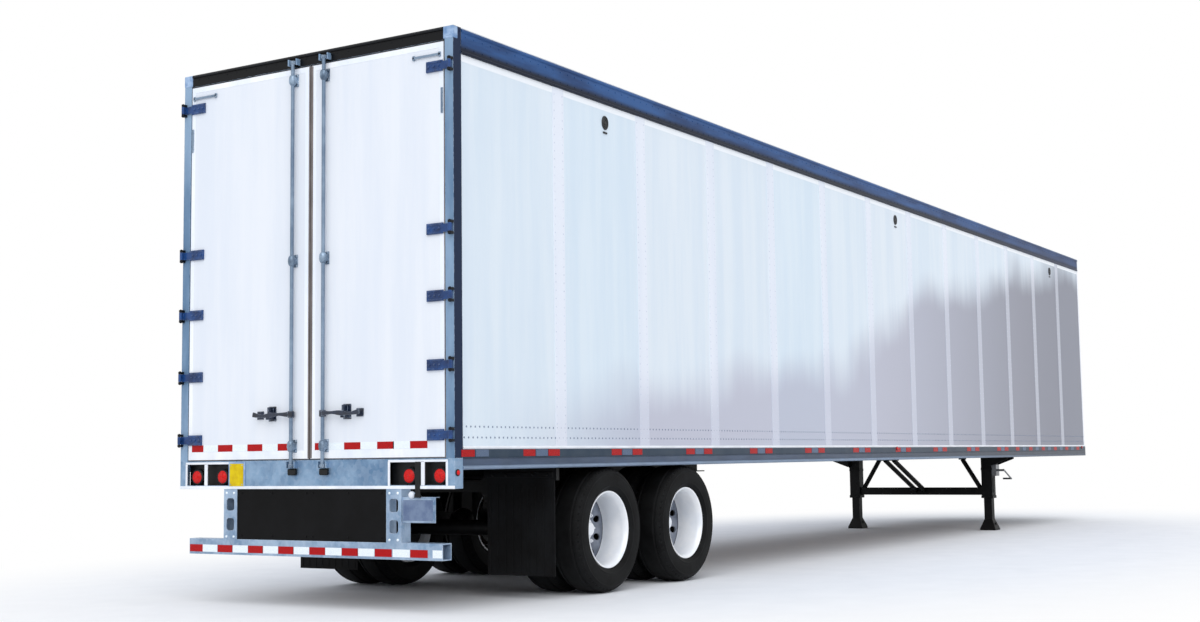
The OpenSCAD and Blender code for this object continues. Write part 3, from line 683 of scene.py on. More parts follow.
vent_profile = [(1.0, -0.002), (1.0, 0.006), (0.94, 0.010), (0.84, 0.010), (0.78, 0.004), (0.66, 0.003),
                (0.60, 0.008), (0.52, 0.008), (0.46, 0.003), (0.34, 0.003), (0.28, 0.008), (0.0, 0.009)]
black_plastic = finish("black_moulding", "0b0d10", "1d2126", scale=30.0, fine=600.0, relief=0.12,
                       rough=0.45)
vents = [oval_dish(np.array([x, wall_high.y, vent_z]), vent_half, vent_profile) for x in vent_x]
hoods = [blocks([[(x - 0.030, wall_high.y - 0.001, vent_z - 0.088),
                  (x + 0.030, wall_high.y + 0.008, vent_z - 0.072)]], 0.003) for x in vent_x]
left = joined(*vents, *hoods)
mesh_piece("side_vents", *both_sides(*left), black_plastic, "chassis", "rubber")

# ---- Nose ------------------------------------------------------------------------------------
# Round aluminium corners and rails frame the flat front wall. A steel box on it holds the two
# air couplings and the lamp socket for the tractor's hoses.

# The front wall carries a weaker painted grey reflection.
coat_nodes(painted_plate("nose_white", "e4edf2", "dbe6ee", "c6ccd6", "c6ccd6", 0.4, tinted=False),
           "front_wall")
front_low, front_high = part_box("front_wall")
front_face = front_high.x
stud_rows = np.concatenate([
    grid([front_face], np.arange(front_low.y + 0.04, front_high.y, 0.062),
         [high_z + 0.05, rail_low.z - 0.05]),
    grid([front_face], [-0.62, 0.0, 0.62], np.arange(high_z + 0.12, rail_low.z - 0.06, 0.10))])
mesh_piece("front_rivets", *domes(stud_rows, 0.0065, 0.003, (1, 0, 0)), rivet_paint, "chassis", "panel",
           smooth=True)

box_low, box_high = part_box("nose_connectors")
cast = finish("cast_alloy", "9da5ae", "7d858f", scale=22.0, fine=260.0, relief=0.35,
              edges=(0.003, 0.6, "d5dae0"), rough=0.55, metal=0.8)
coat_nodes(cast, "nose_connectors")
box_z = (box_low.z + box_high.z) / 2
bolt_places = grid([box_low.x + 0.034], [-0.205, 0.205], [box_z - 0.055, box_z + 0.055])
mesh_piece("nose_box_bolts", *domes(bolt_places, 0.009, 0.006, (1, 0, 0)), cast, "chassis", "steel",
           smooth=True)

# ---- Roof and floor --------------------------------------------------------------------------
# One thin aluminium sheet is stretched over shallow bows. Oak boards lie across steel I-beams
# that are bolted to both bottom rails.

roof_skin = finish("roof_sheet", "e3e6ea", "ccd1d8", scale=1.2, fine=60.0, relief=0.1,
                   rough=0.5, metal=0.55)
coat_nodes(roof_skin, "roof", "roof_bows")

boards, tree, shader = new_material("oak_boards", rough=0.62)
where = add(tree, "TexCoord").outputs["Object"]
axes = add(tree, "SeparateXYZ", {0: where}).outputs
board = add_math(tree, "DIVIDE", axes["Y"], 0.040)
tint = add(tree, "TexWhiteNoise", {"W": add_math(tree, "FLOOR", board)}, noise_dimensions="1D")
long_grain = add(tree, "VectorMath", {0: where, 1: (1.2, 40.0, 10.0)}, operation="MULTIPLY")
fibre = add(tree, "TexNoise", {"Vector": long_grain.outputs[0], "Scale": 1.0, "Detail": 8.0})
oak = mix(tree, fibre.outputs[0], colour("a98258"), colour("7c5836"))
oak = mix(tree, add_math(tree, "MULTIPLY", tint.outputs["Value"], 0.5), oak, colour("8d6a45"))
seam = add_math(tree, "ABSOLUTE", add_math(tree, "SUBTRACT", add_math(tree, "FRACT", board), 0.5))
oak = mix(tree, between(tree, seam, 0.46, 0.49), oak, colour("3a2818"))
tree.links.new(oak, shader.inputs["Base Color"])
relief = add(tree, "Bump", {"Height": fibre.outputs[0], "Strength": 0.25, "Distance": 0.001})
tree.links.new(relief.outputs[0], shader.inputs["Normal"])
coat_nodes(boards, "floor")


def black_steel(name, dark, light, film_amount):
    """Chassis black: satin paint with a film of road dust and small chips at the edges."""
    return finish(name, dark, light, scale=7.0, fine=220.0, relief=0.15, edges=(0.004, 0.5, "2c2b2a"),
                  film=("262524", 0.0, 1.3, film_amount), film_rough=(0.6, 0.5, 0.8), rough=0.6, gloss=0.18)


chassis_black = black_steel("chassis_black", "050607", "0b0c0f", 0.15)
coat_nodes(chassis_black, "crossmembers", "coupler_plate")
machined = finish("machined_steel", "8b8d91", "6c6e72", scale=60.0, fine=500.0, relief=0.1, upright=8.0,
                  rough=0.3, metal=1.0)
coat_nodes(machined, "kingpin", "crank_handle")

# ---- Rear frame ------------------------------------------------------------------------------
# Two folded steel posts and a header make the hoop that the doors shut into. The posts are
# steel blue behind and navy at the side, painted as the lit and the shaded side of one paint,
# with a painted highlight on their edges; the header is black, and cast caps join the corners.

post_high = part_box("rear_frame")[1]
half_w = post_high.y
opening_y = half_w - 0.073
header_z = 3.922
rear_paint, tree, shader = new_material("frame_paint", rough=0.42, gloss=0.2)
axes = place_axes(tree)
outward = add_math(tree, "ABSOLUTE", axes["Y"])
post = use_group(tree, grain_group, First=colour("8fa9c2"), Second=colour("587796"), Scale=2.2,
                 Relief_Scale=350.0, Relief=0.1, Upright=0.25)
edge_wear_and_highlight = use_group(tree, wear_and_highlight_edges, Width=0.005, Amount=0.7)
# Painted shade: the posts' side faces are navy, their rear faces steel blue.
tone = mix(tree, between(tree, outward, half_w - 0.0015, half_w - 0.0005), post["Color"], colour("08203f"))
in_header = add_math(tree, "MULTIPLY", between(tree, axes["Z"], header_z - 0.001, header_z + 0.001),
                     between(tree, outward, opening_y - 0.001, opening_y + 0.001, 1.0, 0.0))
in_header = add_math(tree, "MULTIPLY", in_header, between(tree, axes["X"], rear_x - 0.002, rear_x - 0.001))
tone = mix(tree, in_header, tone, colour("05070b"))
# Painted highlight along the edges.
tone = mix(tree, edge_wear_and_highlight["Mask"], tone, colour("c9d6e6"))
tree.links.new(tone, shader.inputs["Base Color"])
tree.links.new(post["Normal"], shader.inputs["Normal"])
coat_nodes(rear_paint, "rear_frame")

cap_paint = finish("cap_enamel", "a5bedb", "5f84b0", scale=14.0, fine=240.0, relief=0.2,
                   rough=0.32, gloss=0.5)
caps = blocks([[(rear_x - 0.004, opening_y - 0.012, header_z + 0.006),
                (rear_x + 0.05, half_w + 0.003, post_high.z - 0.0005)],
               [(rear_x - 0.006, opening_y + 0.012, header_z + 0.022),
                (rear_x + 0.03, half_w - 0.012, post_high.z - 0.020)]], 0.004)
mesh_piece("corner_caps", *both_sides(*caps), cap_paint, "chassis", "galvanized")

header_black = finish("header_black", "05070b", "0e131b", scale=5.0, fine=300.0, relief=0.1,
                      rough=0.38, gloss=0.2)
gutter_edge = [(rear_x - 0.0005, header_z + 0.074), (rear_x - 0.008, header_z + 0.070),
               (rear_x - 0.011, header_z + 0.080), (rear_x - 0.004, header_z + 0.0915),
               (rear_x + 0.002, header_z + 0.0915), (rear_x + 0.002, header_z + 0.074)]
gutter = extruded([(z, x) for x, z in gutter_edge], -opening_y + 0.014, opening_y - 0.014, axis=1)
header_studs = domes(grid([rear_x], np.arange(-1.15, 1.16, 0.10), [header_z + 0.052]), 0.0065, 0.003,
                     (-1, 0, 0))
mesh_piece("header_gutter", *joined(gutter, header_studs), header_black, "chassis", "dark_steel")

# ---- Doors -----------------------------------------------------------------------------------
# Each door is a plywood core between two white steel skins. A folded white capping runs round
# its edge, and a ribbed rubber gasket seals it to the frame and to the other door.

door_low, door_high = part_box("door_left")
door_skin = painted_plate("door_white", "e9ecf0", "e1e6ed", "dfe6f0", "dfe6f0", 0.0, tinted=False)
coat_nodes(door_skin, "door_left", "door_right")
capping = finish("door_capping", "fcfdff", "e9eff7", scale=3.0, fine=400.0, relief=0.06, upright=0.2,
                 film=("c9cdd2", 0.95, 1.6, 0.4), rough=0.3)
gasket_rubber = finish("gasket_rubber", "8b8380", "6a6361", scale=8.0, fine=180.0, relief=0.3, upright=0.3,
                       rough=0.7, gloss=0.3)
coat_nodes(gasket_rubber, "door_seal_left", "door_seal_right")

cap_w = 0.036
cap_out = 0.0018
y0, y1, z0, z1 = 0.017, door_high.y, door_low.z, door_high.z
cap_boxes = [[(rear_x - cap_out, y0, z0), (rear_x + 0.001, y0 + cap_w, z1)],
             [(rear_x - cap_out, y1 - cap_w, z0), (rear_x + 0.001, y1, z1)],
             [(rear_x - cap_out, y0 + cap_w, z0), (rear_x + 0.001, y1 - cap_w, z0 + 0.058)],
             [(rear_x - cap_out, y0 + cap_w, z1 - 0.040), (rear_x + 0.001, y1 - cap_w, z1)]]
stud_z = np.arange(z0 + 0.10, z1 - 0.05, 0.125)
cap_studs = np.concatenate([grid([rear_x - cap_out], [y0 + cap_w / 2, y1 - cap_w / 2], stud_z),
                            grid([rear_x - cap_out], np.arange(y0 + 0.09, y1 - 0.05, 0.125), [z1 - 0.020])])
door_caps = joined(blocks(cap_boxes, 0.0012), domes(cap_studs, 0.006, 0.0024, (-1, 0, 0)))
door_reds = {"left": np.array([1.13, 0.83, 0.53, 0.23]), "right": np.array([0.07, 0.40, 0.70, 0.99])}
gasket_w = {"left": 0.013, "right": 0.024}
door_tape_z = (door_low.z + 0.060, door_low.z + 0.110)
on_side = {"left": lambda *mesh: mesh, "right": mirrored}


def tape_row(middles, length, front, heights):
    """Lengths of tape across the rear, each about its middle and between two heights."""
    low = np.stack([np.full(len(middles), front), middles - length / 2,
                    np.full(len(middles), heights[0])], -1)
    high = np.stack([np.full(len(middles), rear_x + 0.0005), middles + length / 2,
                     np.full(len(middles), heights[1])], -1)
    return blocks(np.stack([low, high], 1), 0.0004)


for side, place_on in on_side.items():
    mesh_piece(f"door_capping_{side}", *place_on(*door_caps), capping, f"door_{side}", "panel")
    ribs = [(rear_x - 0.001 - 0.003 * math.sin(math.pi * t) ** 0.5, 0.003 + gasket_w[side] * t)
            for t in np.linspace(0, 1, 9)]
    strip = extruded([(x, y) for x, y in ribs] + [(rear_x + 0.002, ribs[-1][1]), (rear_x + 0.002, 0.003)],
                     z0 + 0.004, z1 - 0.004, axis=2)
    strip = (strip[0], [block[:, ::-1] for block in strip[1]])
    mesh_piece(f"door_gasket_{side}", *place_on(*strip), gasket_rubber, f"door_{side}", "seal")
    for word, tape, shift in (("red", red_tape, 0.0), ("white", white_tape, 0.15)):
        middles = door_reds[side] - shift
        middles = middles[(middles > 0.10) | (word == "red")]
        length = np.minimum(tape_l, 2 * (middles - 0.020))
        row = tape_row(middles, length, rear_x - tape_t, door_tape_z)
        mesh_piece(f"door_tape_{word}_{side}", *place_on(*row), tape, f"door_{side}",
                   "lens_red" if word == "red" else "strip")

# ---- Lock rods -------------------------------------------------------------------------------
# A galvanized tube runs down each door through rounded cast clamps. Hooked cams on its ends
# turn into keepers on the frame, and a forged handle folds flat into a hasp on the door.


def galvanized(name, first, second, film_amount=0.2, rough=0.42, flakes=0.22):
    """Hot-dipped zinc: crystals of two greys, brighter at the edges."""
    material, tree, shader = new_material(name, rough=rough, metal=0.45, gloss=0.4)
    where = add(tree, "TexCoord").outputs["Object"]
    crystals = add(tree, "TexVoronoi", {"Vector": where, "Scale": 34.0, "Randomness": 1.0})
    flake = add(tree, "SeparateColor", {0: crystals.outputs["Color"]}).outputs[0]
    cloud = use_group(tree, grain_group, First=colour(first), Second=colour(second), Scale=5.0,
                      Relief_Scale=120.0, Relief=0.2, Upright=1.0)
    zinc = mix(tree, add_math(tree, "MULTIPLY", flake, flakes), cloud["Color"], colour("dbe6f2"))
    edge_wear_and_highlight = use_group(tree, wear_and_highlight_edges, Width=0.004, Amount=0.6)
    zinc = mix(tree, edge_wear_and_highlight["Mask"], zinc, colour("f1f6fb"))
    film = use_group(tree, film_group, Clean=zinc, Film=colour("6c7278"), Low=0.2, High=1.3,
                     Amount=film_amount)
    tree.links.new(film["Color"], shader.inputs["Base Color"])
    tree.links.new(cloud["Normal"], shader.inputs["Normal"])
    tree.links.new(between(tree, flake, 0.0, 1.0, rough - 0.08, rough + 0.12), shader.inputs["Roughness"])
    return material


def bar(path, width, depth, power=0.5, count=16):
    """A bar along a path, given by rows of (x, y, z): each section is the squared ellipse
    (width cos, depth sin), both raised to the power, across the path's own direction."""
    path = np.asarray(path, float)
    ahead = np.gradient(path, axis=0)
    ahead /= np.linalg.norm(ahead, axis=1)[:, None]
    hint = np.array([1.0, 0.0, 0.0]) if abs(ahead[:, 0]).max() < 0.8 else np.array([0.0, 0.0, 1.0])
    side = np.cross(hint, ahead)
    side /= np.linalg.norm(side, axis=1)[:, None]
    up = np.cross(ahead, side)
    t = np.arange(count) * 2 * np.pi / count
    c = np.sign(np.cos(t)) * abs(np.cos(t)) ** power
    s = np.sign(np.sin(t)) * abs(np.sin(t)) ** power
    width, depth = np.broadcast_to(width, len(path)), np.broadcast_to(depth, len(path))
    points = (path[:, None] + (width[:, None] * c)[..., None] * side[:, None]
              + (depth[:, None] * s)[..., None] * up[:, None])
    ring = np.arange(count)
    far_ring = ring + (len(path) - 1) * count
    return points.reshape(-1, 3), [net(len(path), count), ring[None, ::-1], far_ring[None]]


rod_low, rod_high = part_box("lock_rod_left")
rod_x, rod_y, rod_r = rear_x - 0.030, 0.150, 0.0135
clamp_z = (door_low.z + 0.090, 2.490, 3.822)
handle_z = 1.380
rod_zinc = galvanized("rod_zinc", "8497ab", "64788e", flakes=0.05)
clamp_zinc = galvanized("clamp_zinc", "9cb2c8", "34485e", rough=0.28, flakes=0.05)
# The handle's light blue edges are a painted highlight on the dark enamel.
handle_steel = finish("handle_enamel", "18263e", "0c1422", scale=12.0, fine=260.0, relief=0.2,
                      edges=(0.004, 1.0, "a9b8cc"), rough=0.3, gloss=0.6)

rod_profile = [(0.0, 0.0), (0.0, rod_r - 0.002), (0.002, rod_r), (rod_high.z - rod_low.z - 0.002, rod_r),
               (rod_high.z - rod_low.z, rod_r - 0.002), (rod_high.z - rod_low.z, 0.0)]
rod_tube = turned(rod_profile, (rod_x, rod_y, rod_low.z), (0, 0, 1), 24)
cam_t = 0.026
cams = [blocks([[(rod_x - 0.008, rod_y - 0.020, z), (rod_x + 0.020, rod_y + 0.020, z + cam_t)],
                [(rod_x - 0.016, rod_y - 0.016, z + 0.002),
                 (rod_x - 0.006, rod_y + 0.012, z + cam_t - 0.002)]], 0.004)
        for z in (rod_low.z, rod_high.z - cam_t)]
ball = [(0.040 * math.sin(a), 0.0285 * math.cos(a) ** 0.55 if abs(a) < 1.57 else 0.0)
        for a in np.linspace(-math.pi / 2, math.pi / 2, 17)]
ball[0], ball[-1] = (-0.040, 0.0), (0.040, 0.0)
clamp_parts = []
for z in clamp_z:
    clamp_parts.append(turned(ball, (rod_x, rod_y, z), (0, 0, 1), 24))
    clamp_parts.append(blocks([[(rod_x + 0.004, rod_y - 0.026, z - 0.024),
                                (rear_x, rod_y + 0.026, z + 0.024)],
                               [(rear_x - 0.005, rod_y - 0.034, z - 0.046),
                                (rear_x, rod_y + 0.034, z + 0.046)]], 0.003))
    clamp_parts.append(domes(grid([rear_x - 0.005], [rod_y - 0.022, rod_y + 0.022], [z - 0.035, z + 0.035]),
                             0.0075, 0.005, (-1, 0, 0)))
reach = np.linspace(0, 1, 25)
handle_path = np.stack([rear_x - 0.050 - 0.002 * np.sin(np.pi * reach), rod_y + 0.012 + 0.341 * reach,
                        handle_z + 0.010 * np.sin(2.2 * np.pi * reach) * reach], -1)
handle_parts = [
    bar(handle_path, 0.011 + 0.007 * np.cos(2 * np.pi * reach) ** 2, 0.0055),
    turned([(-0.024, 0), (-0.024, 0.020), (-0.019, 0.025), (0.019, 0.025), (0.024, 0.020), (0.024, 0)],
           (rod_x, rod_y, handle_z), (0, 0, 1), 24),
    blocks([[(rod_x - 0.024, rod_y - 0.006, handle_z - 0.014),
             (rod_x - 0.008, rod_y + 0.040, handle_z + 0.014)],
            [(rear_x - 0.005, 0.318, handle_z - 0.045), (rear_x, 0.392, handle_z + 0.062)],
            [(rear_x - 0.054, 0.346, handle_z + 0.012), (rear_x, 0.360, handle_z + 0.056)],
            [(rear_x - 0.056, 0.334, handle_z - 0.034), (rear_x, 0.342, handle_z - 0.010)],
            [(rear_x - 0.056, 0.366, handle_z - 0.034), (rear_x, 0.374, handle_z - 0.010)],
            [(rear_x - 0.044, 0.334, handle_z - 0.034), (rear_x - 0.036, 0.374, handle_z - 0.020)],
            [(rear_x - 0.006, 0.440, handle_z - 0.030), (rear_x, 0.505, handle_z + 0.030)]], 0.0025),
    domes(grid([rear_x - 0.005], [0.328, 0.383], [handle_z - 0.034, handle_z + 0.050]), 0.0065, 0.004,
          (-1, 0, 0))]
for side, place_on in on_side.items():
    tube = mesh_piece(f"rod_tube_{side}", *place_on(*joined(rod_tube, *cams)), rod_zinc, f"door_{side}",
                      "galvanized")
    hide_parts(f"lock_rod_{side}")
    mesh_piece(f"rod_clamps_{side}", *place_on(*joined(*clamp_parts)), clamp_zinc, f"door_{side}",
               "galvanized")
    mesh_piece(f"lock_handle_{side}", *place_on(*joined(*handle_parts)), handle_steel, f"door_{side}",
               "dark_steel")

# ---- Hinges ----------------------------------------------------------------------------------
# Five forged steel straps are bolted to each door, and turn on pins between lugs that are
# welded to the post. They are navy enamel, with a painted highlight on the knuckles and edges.

# Its light edges are a painted highlight.
hinge_enamel = finish("hinge_enamel", "1c4680", "0e2a55", scale=9.0, fine=240.0, relief=0.2,
                      edges=(0.004, 0.35, "b7c7de"), rough=0.3, gloss=0.4)
coat_nodes(hinge_enamel, "hinge_straps_left", "hinge_straps_right")
coat_nodes(header_black, "hinge_butts")

hinge_z = (1.210, 1.683, 2.153, 2.613, 3.743)
strap_x = rear_x - 0.013
rib_boxes = [[(strap_x - 0.004, 1.078, z + lift - 0.005), (strap_x + 0.002, 1.205, z + lift + 0.005)]
             for z in hinge_z for lift in (-0.028, 0.028)]
hinge_bolts = domes(grid([strap_x], [1.092, 1.135, 1.178], hinge_z), 0.010, 0.008, (-1, 0, 0), 8)
hold_back = blocks([[(rear_x - 0.014, 0.947, 3.816), (rear_x - 0.008, 1.192, 3.834)],
                    [(rear_x - 0.014, 0.950, 3.808), (rear_x, 0.966, 3.842)],
                    [(rear_x - 0.014, 1.176, 3.808), (rear_x, 1.192, 3.842)],
                    [(rear_x - 0.007, 1.190, 3.410), (rear_x, 1.2105, 3.590)]], 0.002)
for side, place_on in on_side.items():
    mesh_piece(f"hinge_ribs_{side}", *place_on(*joined(blocks(rib_boxes, 0.003), hinge_bolts)), hinge_enamel,
               f"door_{side}", "dark_steel")
    mesh_piece(f"hold_back_{side}", *place_on(*hold_back), rod_zinc, f"door_{side}", "galvanized")

# ---- Rear sill -------------------------------------------------------------------------------
# A folded galvanized channel under the doors carries the lamps behind a window at each end.
# Its lower flange stands out bright, and a bare yellow plate is fixed on the left.

sill_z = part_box("rear_sill")[0].z
sill_top = 1.052
sill_zinc = galvanized("sill_zinc", "86a4c1", "5a7c9e", film_amount=0.08, flakes=0.15)
coat_nodes(sill_zinc, "rear_sill")
bright_zinc = galvanized("bright_zinc", "f8fdff", "dceaf4", film_amount=0.0, rough=0.45, flakes=0.1)
window = (0.735, 1.225, sill_z + 0.025, sill_top - 0.017)
flange_lip = blocks([[(rear_x - 0.006, -half_w, sill_z - 0.001), (rear_x + 0.004, half_w, sill_z + 0.021)]],
                    0.002)
divider_y = 1.012
frames = blocks([
    [(rear_x - 0.004, window[0] - 0.012, window[3] - 0.006),
     (rear_x + 0.004, window[1] + 0.012, window[3] + 0.010)],
    [(rear_x - 0.004, window[0] - 0.014, window[2] - 0.004), (rear_x + 0.004, window[0] + 0.004, window[3])],
    [(rear_x - 0.004, window[1] - 0.004, window[2] - 0.004), (rear_x + 0.004, window[1] + 0.014, window[3])],
    [(rear_x - 0.004, divider_y - 0.002, window[2] - 0.002), (rear_x + 0.006, divider_y + 0.028, window[3])]],
    0.002)
mesh_piece("sill_bright_edges", *joined(flange_lip, both_sides(*frames)), capping, "chassis",
           "galvanized")

lamp_black = finish("lamp_well_black", "050607", "101215", scale=20.0, fine=300.0, relief=0.2,
                    rough=0.5, gloss=0.3)
coat_nodes(lamp_black, "lamp_boxes")
straps = blocks([[(rear_x - 0.009, 0.962, sill_z - 0.055), (rear_x - 0.003, 1.006, window[3] - 0.004)],
                 [(rear_x - 0.012, 0.958, sill_z - 0.060), (rear_x - 0.001, 1.010, sill_z - 0.035)]], 0.002)
# Painted shadow: black blocks on the sill under the rods' cams stand for the keepers' shadows.
keeper_shadows = blocks([[(rear_x - 0.030, rod_y - 0.038, sill_top - 0.108),
                   (rear_x + 0.002, rod_y + 0.038, sill_top - 0.060)]], 0.008)
mesh_piece("lamp_strap", *mirrored(*straps), lamp_black, "chassis", "black_steel")
mesh_piece("rod_keeper_shadows", *both_sides(*keeper_shadows), lamp_black, "chassis", "black_steel")

yellow = finish("yellow_plate", "e2c800", "cfae00", scale=12.0, fine=300.0, relief=0.1,
                rough=0.45, gloss=0.2)
plate = blocks([[(rear_x - 0.008, 0.638, 0.868), (rear_x - 0.005, 0.776, 1.032)]], 0.001)
mesh_piece("yellow_plate", *plate, yellow, "chassis", "strip")
plate_frame = joined(
    blocks([[(rear_x - 0.0055, 0.622, 0.856), (rear_x, 0.790, 1.044)]], 0.002),
    domes(grid([rear_x - 0.008], [0.650, 0.764], [0.880, 1.020]), 0.005, 0.003, (-1, 0, 0)))
mesh_piece("yellow_plate_frame", *plate_frame, cap_paint, "chassis", "galvanized")

# ---- Lamps -----------------------------------------------------------------------------------
# Round red lamps with ribbed domed lenses are pushed into rubber grommets. Small marker lamps
# sit along the bottom rails, on the frame's corners and across the nose.

red_lens, tree, shader = new_material("red_lens", rough=0.25, gloss=0.25, coat=0.12)
where = add(tree, "TexCoord").outputs["Object"]
prisms = add(tree, "TexVoronoi", {"Vector": where, "Scale": 160.0})
cell = between(tree, prisms.outputs["Distance"], 0.0, 0.9)
tree.links.new(mix(tree, cell, colour("f20a0a"), colour("b50303")), shader.inputs["Base Color"])
relief = add(tree, "Bump", {"Height": cell, "Strength": 0.3, "Distance": 0.001})
tree.links.new(relief.outputs[0], shader.inputs["Normal"])

grommet = finish("grommet_rubber", "101113", "202226", scale=40.0, fine=400.0, relief=0.2,
                 rough=0.65, gloss=0.3)

lamp_y, lamp_z, lamp_r = (0.884, 1.148), 0.935, 0.049
ringed = np.linspace(0, 1, 22)
lens_profile = ([(0.0, 0.0), (0.0, lamp_r)]
                + [(0.012 + 0.016 * (1 - share ** 2) + 0.0016 * math.cos(14 * math.pi * share) * (share > 0),
                    lamp_r * share) for share in ringed[:0:-1]] + [(0.0285, 0.0)])
rim_profile = [(0.0, lamp_r - 0.002), (0.0, lamp_r + 0.012), (0.006, lamp_r + 0.012), (0.014, lamp_r + 0.006),
               (0.016, lamp_r), (0.012, lamp_r - 0.003)]
lenses = [turned(lens_profile, (rear_x + 0.040, y, lamp_z), (-1, 0, 0), 48) for y in lamp_y]
rims = [turned(rim_profile, (rear_x + 0.040, y, lamp_z), (-1, 0, 0), 48) for y in lamp_y]
lens_piece = mesh_piece("rear_lenses", *both_sides(*joined(*lenses)), red_lens, "chassis", "lens_red",
                        smooth=True)
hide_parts("rear_lamps")
mesh_piece("lamp_grommets", *both_sides(*joined(*rims)), grommet, "chassis", "rubber", smooth=True)

marker_profile = [(0.0, 0.0), (0.0, 0.018), (0.006, 0.018), (0.010, 0.015), (0.0125, 0.008), (0.0135, 0.0)]
marker_rim = [(0.0, 0.017), (0.0, 0.024), (0.004, 0.024), (0.007, 0.020), (0.007, 0.017)]
side_spots = [(rear_x + 0.030, half_w, 0.955), (rear_x + 8.080, half_w, 1.100),
              (rear_x + 15.820, half_w, 1.100)]
nose_spots = [(nose_x, y, 3.949) for y in (-1.110, -0.150, 0.0, 0.150, 1.110)]


def markers(profile, count):
    """The same small turned part at every marker lamp, at its sides and at the nose."""
    left = joined(*[turned(profile, spot, (0, 1, 0), count) for spot in side_spots])
    front = joined(*[turned(profile, spot, (1, 0, 0), count) for spot in nose_spots])
    return joined(both_sides(*left), front)


marker_piece = mesh_piece("marker_lenses", *markers(marker_profile, 24), red_lens, "chassis", "lens_red",
                          smooth=True)
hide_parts("marker_lamps")
mesh_piece("marker_bezels", *markers(marker_rim, 24), grommet, "chassis", "rubber", smooth=True)

# ---- Impact guard ----------------------------------------------------------------------------
# A galvanized box bar hangs from two punched channels, low behind the wheels, to stop a car
# from running under. A band of tape runs along its rear face.

guard_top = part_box("impact_guard")[1].z
guard_zinc = galvanized("guard_zinc", "a3bad2", "728fae", film_amount=0.2)
coat_nodes(guard_zinc, "impact_guard", "plate_bracket")
guard_reds = np.array([1.118, 0.823, 0.515, 0.218, -0.080, -0.381, -0.679, -0.990])
guard_tape_z = (0.385, 0.438)
guard_whites = np.append(guard_reds[1:] + 0.153, -1.147)
guard_ends = (-1.1875, 1.1845)
for word, tape, middles in (("red", red_tape, guard_reds), ("white", white_tape, guard_whites)):
    length = np.minimum(tape_l, 2 * np.minimum(guard_ends[1] - middles, middles - guard_ends[0]))
    row = tape_row(middles, length, rear_x - 0.0014, guard_tape_z)
    mesh_piece(f"guard_tape_{word}", *row, tape, "chassis", "lens_red" if word == "red" else "strip")
post_y = (0.705, 0.838)
bolt_rows = grid([rear_x], [post_y[0] + 0.030, post_y[1] - 0.030], [guard_top - 0.030, 0.500])
mesh_piece("guard_bolts", *both_sides(*domes(bolt_rows, 0.011, 0.009, (-1, 0, 0))), bright_zinc,
           "chassis", "galvanized")

# Painted shade: this near-black sheet between the guard posts stands for the dark shade under the trailer.
shade_sheet_rubber = finish("shade_sheet_rubber", "040405", "0b0b0d", scale=4.0, fine=160.0, relief=0.2,
                      rough=0.7, gloss=0.15)
coat_nodes(shade_sheet_rubber, "guard_panel")
panel_bolts = domes(grid([rear_x + 0.004], [0.03, 0.36, 0.66], [0.510, 0.818]), 0.009, 0.006, (-1, 0, 0))
mesh_piece("panel_bolts", *both_sides(*panel_bolts), shade_sheet_rubber, "chassis", "rubber")

bare_plate = finish("bare_plate", "7587a3", "56688a", scale=9.0, fine=300.0, relief=0.15,
                    rough=0.4, metal=0.3)
mesh_piece("bare_number_plate", *joined(
    blocks([[(rear_x + 0.005, -1.105, 0.632), (rear_x + 0.0075, -0.848, 0.772)]], 0.001),
    domes(grid([rear_x + 0.005], [-1.085, -0.868], [0.648, 0.756]), 0.005, 0.003, (-1, 0, 0))),
    bare_plate, "chassis", "galvanized")
lamp_cover = turned([(0.0, 0.0), (0.0, 0.026), (0.012, 0.025), (0.022, 0.018), (0.026, 0.0)],
                    (rear_x + 0.012, -0.925, 0.806), (-1, 0, 0), 24)
mesh_piece("plate_lamp", *lamp_cover, capping, "chassis", "strip", smooth=True)

# ---- Mud flaps -------------------------------------------------------------------------------
# Black rubber sheets hang ahead of the guard from a steel channel. A clamp bar with five bolts
# holds each one, and moulded ribs keep it straight.

flap_rubber = finish("flap_rubber", "050506", "111214", scale=4.0, fine=160.0, relief=0.25,
                     film=("161515", 0.1, 1.0, 0.3), rough=0.68, gloss=0.15)
coat_nodes(flap_rubber, "mud_flaps")
coat_nodes(chassis_black, "flap_hangers")
flap_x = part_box("mud_flaps")[0].x
rib_y = np.linspace(0.670, 1.220, 9)
rib_boxes = np.stack([np.stack([np.full(9, flap_x - 0.003), rib_y - 0.004, np.full(9, 0.190)], -1),
                      np.stack([np.full(9, flap_x + 0.001), rib_y + 0.004, np.full(9, 0.850)], -1)], 1)
mesh_piece("flap_ribs", *both_sides(*blocks(rib_boxes, 0.002)), flap_rubber, "chassis", "rubber")
clamps = joined(blocks([[(flap_x - 0.012, 0.645, 0.900), (flap_x - 0.002, 1.245, 0.940)]], 0.002),
                domes(grid([flap_x - 0.012], np.linspace(0.70, 1.19, 5), [0.920]), 0.011, 0.009, (-1, 0, 0)))
mesh_piece("flap_clamps", *both_sides(*clamps), chassis_black, "chassis", "black_steel")

# ---- Bogie -----------------------------------------------------------------------------------
# The two axles hang from a slider that pins to rails under the floor. A trailing arm runs back
# from each hanger, over its axle, to a rubber air spring.

